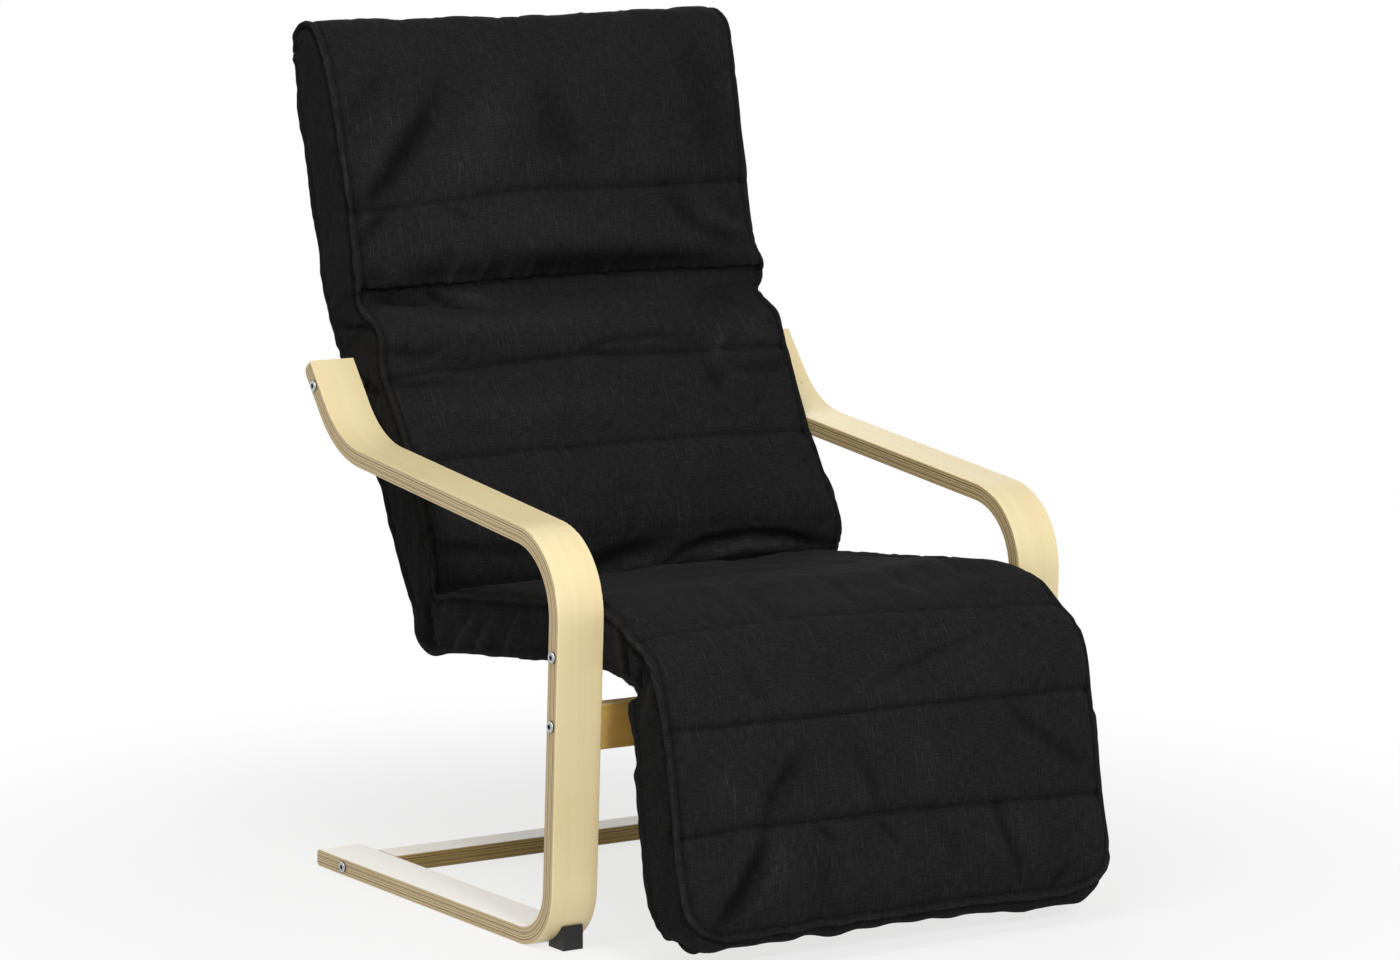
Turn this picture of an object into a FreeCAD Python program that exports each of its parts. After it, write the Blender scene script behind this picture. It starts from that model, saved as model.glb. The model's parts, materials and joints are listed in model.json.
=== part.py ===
import FreeCAD, Part
import math
import os

# A bentwood lounge recliner with a padded footrest, in millimetres.
# +Z is up, the sitter faces -Y, and the sitter's left hand is towards +X.
# The origin is on the floor, below the middle of the whole chair.

V = FreeCAD.Vector

# Whole chair
overall_width = 670.0
post_foot_y = -245.9      # where the line of the post's front face meets the floor

# Side frames: one bent strip of laminated birch each, drawn by its outer face
strip_width = 58.0
strip_thick = 20.0
base_inset = 3.4          # from below the arm's rear end forward to the base's end
post_lean = 3.0           # degrees forward of upright
post_height = 453.6
arm_rise = 6.6            # degrees
arm_length = 498.0
tail_rise = 51.9          # degrees
tail_length = 111.0
heel_radius = 71.0
knuckle_radius = 94.7
elbow_radius = 115.2
edge_round = 1.6
tail_round = 8.0
base_round = 5.0

# Crossrails between the side frames
front_rail_height = 252.5  # to its bolts
front_rail_width = 50.0
front_rail_drop = 4.5      # from its bolts down to its middle
rear_rail_inset = 65.0     # from the base's rear end to the crossrail's middle
rear_rail_width = 43.0

# Seat and back rails, bent from the same kind of strip
rail_width = 50.0
rail_thick = 20.0
side_room = 11.5          # between a rail and its side frame, for the cover's boxing
seat_bolt_height = 328.6
seat_tilt = 5.5           # degrees down to the rear
back_recline = 32.0       # degrees from upright, below the lumbar bend
lumbar_bend = 16.5        # degrees
lumbar_distance = 430.0   # from the seat corner to the lumbar bend
upper_back_length = 304.0
seat_corner_radius = 70.0
lumbar_radius = 300.0
tail_bolt_inset = 28.5    # from the tail's end to its bolt
knee_overhang = 52.5      # from the seat bolt to the front of the seat

# Footrest frame
leg_lean = 12.5           # degrees forward of upright, hanging
leg_length = 280.0
hinge_below_seat = 12.0   # from the seat rails' middle down to the hinge pins
hinge_behind_leg = 20.0   # from the leg rails' middle back to the hinge pins
rail_end_gap = 4.0        # between the knee's planes and the rails' ends

# Slats across the rails
slat_width = 50.0
slat_thick = 9.0
slat_inset = 3.0          # from the rail's outer face to the slat's end
slat_round = 2.0
seat_slat_first = 30.0
seat_slat_pitch = 100.0
seat_slat_count = 4
lower_back_slat_shares = [0.2, 0.41, 0.62, 0.84]  # of the way up to the lumbar bend
upper_back_slat_shares = [0.3, 0.61, 0.9]         # of the way from there to the top
leg_slat_shares = [0.215, 0.565, 0.9]             # of the way down the footrest

# Ratchet hinges, on the rails' inner edges
disc_radius = 16.0
tooth_count = 24
tooth_depth = 1.6
hinge_arm_width = 16.0
hinge_arm_length = 92.0
hinge_arm_root = 22.0     # where an arm leaves its disc for its rail
cheek_thick = 2.0
ratchet_thick = 3.0
hinge_gap = 0.3
hinge_pin_radius = 4.0
pin_head_radius = 7.0
pin_head_thick = 2.0
pawl_pivot = 30.0         # from the hinge pin along the moving arm
pawl_width = 6.0
pawl_pin_radius = 1.5

# Cushion, measured outwards from the rails' middle
boxing_thick = 10.2
cover_drop = 20.0
leg_cover_drop = 19.5
cover_gap = 0.3
side_bulge = 0.8
channel_draw = 4.0        # how far the sides draw in at a sewn channel
pocket_thick = 3.0
head_pocket_depth = 150.0
foot_pocket_depth = 80.0
head_lip = 24.0
foot_lip = 21.0
strap_width = 25.0
strap_thick = 1.5

# Heights of the pads' side seams out from the rails' middle, and how far a crown stands above them
seat_front_side = 34.0
seat_side = 51.0
back_channel_side = 50.0
back_side = 62.0
head_side = 58.0
head_edge_side = 37.0
leg_start_side = 41.0
leg_channel_side = 45.0
leg_side = 50.0
foot_edge_side = 36.0
crease_side = 33.0
full_crown = 10.0
pad_crown = 8.0
seam_crown = 7.0
crease_crown = 4.0
crease_lean = 8.0         # degrees that the crease leans back from upright
crease_width = 0.4

# Sewn channels, as shares of the way up the back and down the footrest
back_channel_shares = [0.273, 0.427, 0.567, 0.732]
leg_channel_shares = [0.293, 0.704]
first_lobe_start = 60.0
head_start = 40.0         # below the rails' top ends

# Knee, measured round the hinge pins
knee_core = 3.0
knee_channel_turn = 36.0  # degrees forward of the seat's front plane
knee_channel_radius = 30.0
knee_rise = 0.6           # degrees that keep the knee off its neighbours

# How far a lobe's sections are along it, and how high the seat's stand
quarter_shares = [0.0, 0.25, 0.5, 0.75, 1.0]
seat_shares = [0.0, 0.2, 0.45, 0.7, 0.88]
seat_rise_shares = [0.0, 0.7, 1.0, 1.0, 0.95]

# Fasteners
bolt_radius = 3.0
bolt_head_radius = 6.5
bolt_head_height = 2.6
bolt_socket_radius = 3.2
bolt_socket_depth = 2.0
nut_radius = 5.0
nut_length = 16.0
nut_reach = 30.0          # from the carried piece's end to the middle of its barrel nut
bolt_past_nut = 8.0
sleeve_radius = 8.0
screw_radius = 2.0
screw_head_radius = 4.0
screw_head_height = 2.2
slat_screw_length = 21.0
slat_screw_spacing = 26.0
hinge_screw_length = 17.0
hinge_screw_first = 44.0
hinge_screw_pitch = 32.0
fit_clearance = 0.1

# Front feet
foot_width = 25.0
foot_front = 8.6          # from the heel line back to the foot's front face
foot_length = 31.0
foot_offset = 5.0         # from the strip's middle towards the chair's middle
foot_top = 27.0
foot_screw_length = 17.0
foot_screw_back = 20.0    # from the foot's front face
foot_screw_sink = 2.5

overrun = 5.0             # how far a cutter passes a face

half_gap = overall_width / 2 - strip_width
rail_outer = half_gap - side_room
rail_inner = rail_outer - rail_width
rail_half = rail_thick / 2
cushion_floor = rail_half + slat_thick + cover_gap
cushion_half = half_gap - side_bulge - cover_gap
boxing_outer = half_gap - 2 * cover_gap
boxing_inner = boxing_outer - boxing_thick


class Lane:
    """A straight run in side view: distance along it, and out to its left."""

    def __init__(self, start, angle):
        self.start = start
        self.angle = angle
        turn = math.radians(angle)
        self.along = V(0, math.cos(turn), math.sin(turn))
        self.out = V(0, -math.sin(turn), math.cos(turn))

    def at(self, along, out, x=0.0):
        return self.start + self.along * along + self.out * out + V(x, 0, 0)

    def meet(self, out, other, other_out):
        """The point where a line beside this lane crosses a line beside another."""
        gap = other.at(0, other_out) - self.at(0, out)
        across = self.along.y * other.along.z - self.along.z * other.along.y
        reach = (gap.y * other.along.z - gap.z * other.along.y) / across
        return self.at(reach, out)


def unit(vector):
    return vector * (1 / vector.Length)


def left_of(direction):
    return V(0, -direction.z, direction.y)


def line(start, end):
    return Part.LineSegment(start, end).toShape()


def arc(start, middle, end):
    return Part.Arc(start, middle, end).toShape()


def run_beside(corners, radii, out):
    """The edges of a rounded path, moved out to its left."""
    edges = []
    start = corners[0] + left_of(unit(corners[1] - corners[0])) * out
    for i, radius in enumerate(radii, 1):
        into = unit(corners[i] - corners[i - 1])
        away = unit(corners[i + 1] - corners[i])
        turn = math.atan2(into.y * away.z - into.z * away.y, into.dot(away))
        reach = radius * abs(math.tan(turn / 2))
        sign = math.copysign(1, turn)
        begin = corners[i] - into * reach
        centre = begin + left_of(into) * (sign * radius)
        first = begin + left_of(into) * out
        last = corners[i] + away * reach + left_of(away) * out
        middle = centre + unit(corners[i] - centre) * (radius - sign * out)
        edges.append(line(start, first))
        edges.append(arc(first, middle, last))
        start = last
    end = corners[-1] + left_of(unit(corners[-1] - corners[-2])) * out
    edges.append(line(start, end))
    return edges, end


def band(corners, radii, low, high, x_from, x_to):
    """A strip of even thickness along a rounded path, from one x to another."""
    near, near_end = run_beside(corners, radii, low)
    far, far_end = run_beside(corners, radii, high)
    near_start = corners[0] + left_of(unit(corners[1] - corners[0])) * low
    far_start = corners[0] + left_of(unit(corners[1] - corners[0])) * high
    caps = [line(near_end, far_end), line(far_start, near_start)]
    wire = Part.Wire(Part.__sortEdges__(near + far + caps))
    face = Part.Face(wire)
    face.translate(V(x_from, 0, 0))
    return face.extrude(V(x_to - x_from, 0, 0))


def prism(points, x_from, x_to):
    """A side-view outline pulled across the chair."""
    face = Part.Face(Part.makePolygon(points + points[:1]))
    face.translate(V(x_from, 0, 0))
    return face.extrude(V(x_to - x_from, 0, 0))


def block(lane, along_from, along_to, out_from, out_to, x_from, x_to):
    corners = [lane.at(along_from, out_from), lane.at(along_to, out_from),
               lane.at(along_to, out_to), lane.at(along_from, out_to)]
    return prism(corners, x_from, x_to)


def rounded(shape, radius, keep):
    """The shape with a small round on each edge that the test keeps."""
    edges = [edge for edge in shape.Edges if keep(edge)]
    return shape.makeFillet(radius, edges) if edges else shape


def mirrored(shape):
    return shape.mirror(V(0, 0, 0), V(1, 0, 0))


def both_sides(shape):
    return [shape, mirrored(shape)]


def save(name, shape):
    shape.exportStep("parts/" + name + ".step")


def save_group(name, shapes):
    save(name, Part.makeCompound(shapes))


# Places that the pieces share, in side view

def along_degrees(angle):
    return V(0, math.cos(math.radians(angle)), math.sin(math.radians(angle)))


heel = V(0, post_foot_y, 0)
post_up = along_degrees(90 + post_lean)
knuckle = heel + post_up * (post_height / post_up.z)
elbow = knuckle + along_degrees(arm_rise) * arm_length
tail_end = elbow + along_degrees(tail_rise) * tail_length
base_end = V(0, tail_end.y - base_inset, 0)
side_corners = [tail_end, elbow, knuckle, heel, base_end]
side_radii = [elbow_radius, knuckle_radius, heel_radius]

post = Lane(knuckle, 270 + post_lean)
tail = Lane(tail_end, 180 + tail_rise)
base = Lane(heel, 0)


def on_post(height):
    """The point at this height in the middle of the post's thickness."""
    middle = post.at(0, strip_thick / 2)
    return post.at((height - middle.z) / post.along.z, strip_thick / 2)


seat_bolt = on_post(seat_bolt_height)
front_bolt = on_post(front_rail_height)
tail_bolt = tail.at(tail_bolt_inset, strip_thick / 2)
rear_bolt = base_end + V(0, -rear_rail_inset, strip_thick / 2)

seat = Lane(seat_bolt, -seat_tilt)
back_line = Lane(tail_bolt, 90 - back_recline)
seat_corner = seat.meet(0, back_line, 0)
back = Lane(seat_corner, 90 - back_recline)
lumbar = back.at(lumbar_distance, 0)
upper = Lane(lumbar, 90 - back_recline + lumbar_bend)
head_end = upper.at(upper_back_length, 0)

hinge = seat.at(-knee_overhang, -hinge_below_seat)
leg_angle = 90 - leg_lean
leg_out = Lane(hinge, leg_angle).out
leg = Lane(hinge + leg_out * hinge_behind_leg, leg_angle)


# Fasteners

def screw(head_middle, direction, length, clearance=0.0):
    """A countersunk wood screw, or the hole that it fits."""
    head = Part.makeCone(screw_head_radius + clearance, screw_radius + clearance,
                         screw_head_height, head_middle, direction)
    shank = Part.makeCylinder(screw_radius + clearance, length + clearance, head_middle, direction)
    return head.fuse(shank)


def side_bolt(place, carried_end):
    """A button-head bolt through a side frame, up to its barrel nut and past it."""
    face = V(overall_width / 2, place.y, place.z)
    inwards = V(-1, 0, 0)
    length = face.x - carried_end + nut_reach + bolt_past_nut
    shank = Part.makeCylinder(bolt_radius, length, face, inwards)
    head = Part.makeCylinder(bolt_head_radius, bolt_head_height, face, -inwards)
    head = head.makeFillet(bolt_head_height / 2, head.Edges[:1])
    socket_floor = face + V(bolt_head_height - bolt_socket_depth, 0, 0)
    socket = hexagon(socket_floor, bolt_socket_radius, bolt_socket_depth + overrun)
    return shank.fuse(head).cut(socket)


def hexagon(centre, radius, depth):
    corners = []
    for i in range(6):
        corners.append(centre + along_degrees(60 * i) * radius)
    return Part.Face(Part.makePolygon(corners + corners[:1])).extrude(V(depth, 0, 0))


def bolt_hole(place, x_from, x_to):
    return Part.makeCylinder(bolt_radius + fit_clearance, x_to - x_from,
                             V(x_from, place.y, place.z), V(1, 0, 0))


def nut_place(place, carried_end):
    return V(carried_end - nut_reach, place.y, place.z)


def barrel_nut(place, carried_end, across):
    middle = nut_place(place, carried_end)
    body = Part.makeCylinder(nut_radius, nut_length, middle - across * (nut_length / 2), across)
    return body.cut(bolt_hole(place, middle.x - overrun - nut_radius, middle.x + overrun + nut_radius))


def nut_hole(place, carried_end, across, thick):
    """The blind hole that takes a barrel nut, from the face that across points to."""
    middle = nut_place(place, carried_end)
    floor = nut_length / 2 + fit_clearance
    return Part.makeCylinder(nut_radius + fit_clearance, floor + thick / 2 + overrun,
                             middle - across * floor, across)


joints = [
    (seat_bolt, rail_outer, -seat.out, rail_thick),
    (tail_bolt, rail_outer, -back.out, rail_thick),
    (front_bolt, half_gap, post.out, strip_thick),
    (rear_bolt, half_gap, V(0, 0, -1), strip_thick),
]


def make_fasteners():
    bolts = [side_bolt(place, end) for place, end, across, thick in joints]
    nuts = [barrel_nut(place, end, across) for place, end, across, thick in joints]
    for side, turned in (("left", lambda s: s), ("right", mirrored)):
        save_group("frame_bolts_" + side, [turned(bolt) for bolt in bolts])
        save_group("barrel_nuts_" + side, [turned(nut) for nut in nuts])
    sleeves = []
    for place in (seat_bolt, tail_bolt):
        outer = Part.makeCylinder(sleeve_radius, side_room, V(rail_outer, place.y, place.z), V(1, 0, 0))
        sleeve = outer.cut(bolt_hole(place, rail_outer - overrun, half_gap + overrun))
        sleeves += both_sides(sleeve)
    save_group("spacer_sleeves", sleeves)


# Side frames, crossrails and feet

def make_side_frames():
    x_outer = overall_width / 2
    frame = band(side_corners, side_radii, 0, strip_thick, half_gap, x_outer)
    tail_under = tail.at(0, strip_thick)
    frame = rounded(frame, tail_round, lambda edge: near_line(edge, tail_under))
    base_top = base_end + V(0, 0, strip_thick)
    frame = rounded(frame, base_round, lambda edge: near_line(edge, base_end) or near_line(edge, base_top))
    frame = rounded(frame, edge_round, lambda edge: on_side_face(edge, half_gap, x_outer))
    for place, end, across, thick in joints:
        frame = frame.cut(bolt_hole(place, half_gap - overrun, x_outer + overrun))
    frame = frame.cut(foot_screw(fit_clearance))
    save("side_frame_left", frame)
    save("side_frame_right", mirrored(frame))


def near_line(edge, place):
    """Whether a straight edge across the chair passes through this place in side view."""
    ends = [vertex.Point for vertex in edge.Vertexes]
    if len(ends) < 2:
        return False
    return all(math.hypot(end.y - place.y, end.z - place.z) < fit_clearance for end in ends)


def on_side_face(edge, x_low, x_high):
    xs = [vertex.Point.x for vertex in edge.Vertexes]
    level = max(xs) - min(xs) < fit_clearance
    return level and min(abs(xs[0] - x_low), abs(xs[0] - x_high)) < fit_clearance


def make_crossrails():
    front = Lane(front_bolt, post.angle)
    reach = front_rail_width / 2
    shape = block(front, front_rail_drop - reach, front_rail_drop + reach, -strip_thick / 2, strip_thick / 2,
                  -half_gap, half_gap)
    save("front_crossrail", drilled_crossrail(shape, 2))
    low = Lane(rear_bolt, 0)
    reach = rear_rail_width / 2
    shape = block(low, -reach, reach, -strip_thick / 2, strip_thick / 2, -half_gap, half_gap)
    save("rear_crossrail", drilled_crossrail(shape, 3))


def drilled_crossrail(shape, joint):
    """A crossrail with rounded long edges, bored for its bolts and barrel nuts at both ends."""
    long_edges = [e for e in shape.Edges if e.Length > shape.BoundBox.XLength - overrun]
    shape = shape.makeFillet(edge_round, long_edges)
    place, end, across, thick = joints[joint]
    bore = bolt_hole(place, end - nut_reach - bolt_past_nut - fit_clearance, end + overrun)
    for cutter in (bore, nut_hole(place, end, across, thick)):
        shape = shape.cut(cutter).cut(mirrored(cutter))
    return shape


def foot_x():
    return half_gap + strip_width / 2 - foot_offset


def foot_screw(clearance=0.0):
    place = V(foot_x(), post_foot_y + foot_front + foot_screw_back, foot_screw_sink)
    return screw(place, V(0, 0, 1), foot_screw_length, clearance)


def make_feet():
    """Wedges that fill the space under the front bends."""
    front = post_foot_y + foot_front
    rear = front + foot_length
    x_from = foot_x() - foot_width / 2
    outline = [V(0, front, 0), V(0, rear, 0), V(0, rear, foot_top), V(0, front, foot_top)]
    wedge = prism(outline, x_from, x_from + foot_width)
    bend = band(side_corners, side_radii, -cover_gap, strip_thick, x_from - overrun,
                x_from + foot_width + overrun)
    wedge = largest(wedge.cut(bend))
    sink = Part.makeCylinder(screw_head_radius + fit_clearance, foot_screw_sink + overrun,
                             V(foot_x(), front + foot_screw_back, -overrun), V(0, 0, 1))
    wedge = wedge.cut(foot_screw(fit_clearance)).cut(sink)
    save("front_foot_left", wedge)
    save("front_foot_right", mirrored(wedge))
    save_group("foot_screws", both_sides(foot_screw()))


def largest(shape):
    return max(shape.Solids, key=lambda solid: solid.Volume)


# Rails and slats

def slat_places():
    """Each slat as its node name, lane and distance along it."""
    places = []
    front = -knee_overhang + rail_end_gap
    for i in range(seat_slat_count):
        places.append(("seat_slat_%d" % (i + 1), seat, front + seat_slat_first + seat_slat_pitch * i))
    for i, share in enumerate(lower_back_slat_shares):
        places.append(("back_slat_%d" % (i + 1), back, lumbar_distance * share))
    for i, share in enumerate(upper_back_slat_shares):
        number = i + 1 + len(lower_back_slat_shares)
        places.append(("back_slat_%d" % number, upper, upper_back_length * share))
    for i, share in enumerate(leg_slat_shares):
        places.append(("leg_slat_%d" % (i + 1), leg, -leg_length * share))
    return places


def slat_screws(lane, middle, clearance=0.0):
    """The screws on the left end of one slat."""
    found = []
    x = rail_outer - slat_inset - 3 * screw_head_radius
    for along in (middle - slat_screw_spacing / 2, middle + slat_screw_spacing / 2):
        head = lane.at(along, rail_half + slat_thick - fit_clearance, x)
        found.append(screw(head, -lane.out, slat_screw_length, clearance))
    return found


def make_slats():
    frame_screws = []
    footrest_screws = []
    half = slat_width / 2
    x_end = rail_outer - slat_inset
    for name, lane, middle in slat_places():
        slat = block(lane, middle - half, middle + half, rail_half, rail_half + slat_thick, -x_end, x_end)
        long_edges = [e for e in slat.Edges if e.Length > slat_width + slat_thick]
        slat = slat.makeFillet(slat_round, long_edges)
        sink = V(0, 0, 0) + lane.out * fit_clearance
        for hole in slat_screws(lane, middle, fit_clearance):
            open_hole = hole.fuse(hole.translated(sink))
            slat = slat.cut(open_hole).cut(mirrored(open_hole))
        save(name, slat)
        group = footrest_screws if lane is leg else frame_screws
        for each in slat_screws(lane, middle):
            group += both_sides(each)
    save_group("slat_screws", frame_screws)
    save_group("leg_slat_screws", footrest_screws)


def rail_screw_holes(lanes):
    holes = []
    for name, lane, middle in slat_places():
        if lane in lanes:
            holes += slat_screws(lane, middle, fit_clearance)
    return holes


def save_rail(name, corners, radii, cutters):
    rail = band(corners, radii, -rail_half, rail_half, rail_inner, rail_outer)
    rail = rounded(rail, edge_round, lambda edge: on_side_face(edge, rail_inner, rail_outer))
    for cutter in cutters:
        rail = rail.cut(cutter)
    save(name + "_left", rail)
    save(name + "_right", mirrored(rail))


def make_rails():
    cutters = rail_screw_holes([seat, back, upper]) + hinge_screws(seat_arm_lane, fit_clearance)
    for place, end, across, thick in joints[:2]:
        cutters.append(nut_hole(place, end, across, thick))
        bore_end = end - nut_reach - bolt_past_nut - fit_clearance
        cutters.append(bolt_hole(place, bore_end, end + overrun))
    front = seat.at(-knee_overhang + rail_end_gap, 0)
    save_rail("back_rail", [front, seat_corner, lumbar, head_end],
              [seat_corner_radius, lumbar_radius], cutters)
    cutters = rail_screw_holes([leg]) + hinge_screws(leg_arm_lane, fit_clearance)
    low = leg.at(-leg_length, 0)
    save_rail("leg_rail", [low, leg.at(-rail_end_gap, 0)], [], cutters)


# Ratchet hinges. Each arm runs along its rail's middle, counted from the hinge pin.

seat_arm_lane = Lane(seat.at(-knee_overhang, 0), -seat_tilt)
leg_arm_lane = Lane(leg.start, leg_angle + 180)

outer_cheek = rail_inner - hinge_gap
ratchet_outer = outer_cheek - cheek_thick - hinge_gap
ratchet_inner = ratchet_outer - ratchet_thick
inner_cheek = ratchet_inner - hinge_gap
hinge_inner = inner_cheek - cheek_thick


def hinge_screw_x(lane):
    return ratchet_inner if lane is seat_arm_lane else hinge_inner


def hinge_screws(lane, clearance=0.0):
    found = []
    for i in range(2):
        along = hinge_screw_first + hinge_screw_pitch * i
        head = lane.at(along, 0, hinge_screw_x(lane) + fit_clearance)
        found.append(screw(head, V(1, 0, 0), hinge_screw_length, clearance))
    return found


def hinge_disc(radius, x_from, x_to):
    return Part.makeCylinder(radius, x_to - x_from, hinge + V(x_from, 0, 0), V(1, 0, 0))


def toothed_disc():
    """A disc with saw teeth all round it."""
    points = []
    step = 360 / tooth_count
    for i in range(tooth_count):
        points.append(hinge + along_degrees(step * i) * disc_radius)
        points.append(hinge + along_degrees(step * i) * (disc_radius - tooth_depth))
    points.reverse()
    return prism(points, ratchet_inner, ratchet_outer)


def bored_hinge(shape, lane):
    bore = hinge_disc(hinge_pin_radius + fit_clearance / 2, hinge_inner - overrun, rail_inner + overrun)
    shape = shape.cut(bore)
    for hole in hinge_screws(lane, fit_clearance):
        wide = hole.fuse(hole.translated(V(-fit_clearance, 0, 0)))
        shape = shape.cut(wide)
    return shape


def make_hinges():
    half = hinge_arm_width / 2
    fixed = toothed_disc()
    fixed = fixed.fuse(block(seat_arm_lane, rail_end_gap, hinge_arm_length, -half, half,
                             ratchet_inner, ratchet_outer))
    fixed = fixed.fuse(block(seat_arm_lane, hinge_arm_root, hinge_arm_length, -half, half,
                             ratchet_inner, rail_inner))
    fixed = bored_hinge(fixed.removeSplitter(), seat_arm_lane)
    cheek_radius = disc_radius + cheek_thick
    moving = hinge_disc(cheek_radius, outer_cheek - cheek_thick, outer_cheek)
    moving = moving.fuse(hinge_disc(cheek_radius, hinge_inner, inner_cheek))
    for x_from, x_to in ((outer_cheek - cheek_thick, outer_cheek), (hinge_inner, inner_cheek)):
        moving = moving.fuse(block(leg_arm_lane, 0, hinge_arm_length, -half, half, x_from, x_to))
    moving = moving.fuse(block(leg_arm_lane, pawl_pivot + pawl_width, hinge_arm_length, -half, half,
                               hinge_inner, rail_inner))
    pivot = pawl_pin(fit_clearance)
    moving = bored_hinge(moving.removeSplitter(), leg_arm_lane).cut(pivot)
    pin = hinge_disc(hinge_pin_radius, hinge_inner, outer_cheek)
    pin = pin.fuse(hinge_disc(pin_head_radius, hinge_inner - pin_head_thick, hinge_inner))
    pawl = make_pawl()
    for side, turned in (("left", lambda s: s), ("right", mirrored)):
        save("hinge_fixed_arm_" + side, turned(fixed))
        save("hinge_moving_arm_" + side, turned(moving))
        save("hinge_pin_" + side, turned(pin))
        save("hinge_pawl_" + side, turned(pawl))
    frame_side = []
    footrest_side = []
    for each in hinge_screws(seat_arm_lane):
        frame_side += both_sides(each)
    for each in hinge_screws(leg_arm_lane):
        footrest_side += both_sides(each)
    save_group("hinge_screws", frame_side)
    save_group("leg_hinge_screws", footrest_side)


def pawl_pin(clearance=0.0):
    centre = leg_arm_lane.at(pawl_pivot, 0, hinge_inner - cheek_thick / 2)
    return Part.makeCylinder(pawl_pin_radius + clearance, rail_inner - centre.x - hinge_gap,
                             centre, V(1, 0, 0))


def make_pawl():
    """The catch between the cheeks, lifted just clear of the teeth, with its own pivot."""
    start = leg_arm_lane.at(pawl_pivot, 0)
    towards = unit(hinge - start)
    tip = hinge - towards * (disc_radius + hinge_gap)
    beside = left_of(towards)
    tail_half = pawl_width / 2
    outline = [tip, tip - towards * pawl_width - beside * tail_half,
               start - towards * tail_half - beside * tail_half,
               start - towards * tail_half + beside * tail_half,
               tip - towards * pawl_width + beside * tail_half]
    body = prism(outline, inner_cheek + hinge_gap, outer_cheek - cheek_thick - hinge_gap)
    return body.fuse(pawl_pin())


# Cushion: crowned pads over the slats, with boxing at the sides that hides the rails

def pad_section(foot, outward, half, heights):
    """One outline across the chair: flat below, bulged at the sides, crowned on top."""
    side_height, crown_height = heights
    low_left = foot + V(half, 0, 0)
    low_right = foot - V(half, 0, 0)
    high_left = low_left + outward * side_height
    high_right = low_right + outward * side_height
    bulge = V(side_bulge, 0, 0)
    lift = outward * (side_height / 2)
    edges = [line(low_right, low_left), arc(low_left, low_left + lift + bulge, high_left),
             arc(high_left, foot + outward * crown_height, high_right),
             arc(high_right, low_right + lift - bulge, low_right)]
    return Part.Wire(edges)


def lane_section(lane, along, heights, share):
    """A section square to its lane, this share of the way along its lobe."""
    foot = lane.at(along, cushion_floor)
    half = cushion_half - channel_draw * (1 - fullness(share))
    return pad_section(foot, lane.out, half, [height - cushion_floor for height in heights])


def crease_section(foot):
    return pad_section(foot, along_degrees(90 - crease_lean), cushion_half - channel_draw,
                       raised(crease_side, crease_crown))


def pad(lobes):
    """One solid from lobes that share their end sections."""
    solids = [Part.makeLoft(sections, True) for sections in lobes]
    whole = solids[0]
    if len(solids) > 1:
        whole = whole.multiFuse(solids[1:])
    return whole


def raised(side, crown):
    """A section's heights at its side seams and in its middle."""
    return [side, side + crown]


def crease_foot():
    return seat.meet(cushion_floor, back, cushion_floor)


def fullness(share):
    """How far a lobe has swelled at this share of its length: none at its ends, all in its middle."""
    return 1 - (2 * share - 1) ** 2


def blended(start, end, share):
    return [low + (high - low) * share for low, high in zip(start, end)]


def lobe(section_at, start, end, first, last, top):
    """Sections from one seam to the next: the seams' heights, swelled towards the lobe's own."""
    sections = []
    for share in quarter_shares:
        heights = blended(blended(first, last, share), top, fullness(share))
        sections.append(section_at(start + (end - start) * share, heights, share))
    return sections


def make_seat_pad():
    front = -knee_overhang + cover_gap
    foot = crease_foot() - seat.along * crease_width
    length = (foot - seat.start).dot(seat.along) - front
    low = raised(seat_front_side, seam_crown)
    high = raised(seat_side, pad_crown)
    sections = []
    for share, rise_share in zip(seat_shares, seat_rise_shares):
        sections.append(lane_section(seat, front + length * share, blended(low, high, rise_share), share))
    sections.append(crease_section(foot))
    save("cushion_seat", pad([sections]))


def back_lane(distance):
    """A lane that starts on the back rails' middle line, this far up their bent path."""
    reach = lumbar_radius * math.tan(math.radians(lumbar_bend / 2))
    bend_start = lumbar_distance - reach
    bend_length = lumbar_radius * math.radians(lumbar_bend)
    past = distance - bend_start
    if past <= 0:
        return Lane(back.at(distance, 0), back.angle)
    if past >= bend_length:
        return Lane(upper.at(reach + past - bend_length, 0), upper.angle)
    turned = Lane(back.at(bend_start, lumbar_radius), back.angle + math.degrees(past / lumbar_radius))
    return Lane(turned.at(0, -lumbar_radius), turned.angle)


def back_length():
    reach = lumbar_radius * math.tan(math.radians(lumbar_bend / 2))
    return lumbar_distance + upper_back_length - 2 * reach + lumbar_radius * math.radians(lumbar_bend)


def back_section(distance, heights, share):
    return lane_section(back_lane(distance), 0, heights, share)


def make_back_pad():
    channels = [back_length() * share for share in back_channel_shares]
    seam = raised(back_channel_side, seam_crown)
    full = raised(back_side, full_crown)
    first = channels[0]
    sections = [crease_section(crease_foot())]
    for distance, heights in ((first_lobe_start, [seam[0], full[0]]),
                              ((first_lobe_start + first) / 2, full), (first, seam)):
        sections.append(back_section(distance, heights, distance / first))
    lobes = [sections]
    for start, end in zip(channels, channels[1:]):
        lobes.append(lobe(back_section, start, end, seam, seam, full))
    last = channels[-1]
    top = back_length() + head_lip
    head = back_length() - head_start
    step = (head - last) / 4
    sections = []
    edge = raised(head_edge_side, seam_crown)
    for distance, heights in ((last, seam), (last + step, full), (head - step, full),
                              (head, raised(head_side, full_crown)), (top, edge)):
        sections.append(back_section(distance, heights, (distance - last) / (top - last)))
    lobes.append(sections)
    save("cushion_back", pad(lobes))


def leg_section(distance, heights, share):
    return lane_section(leg, -distance, heights, share)


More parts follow.
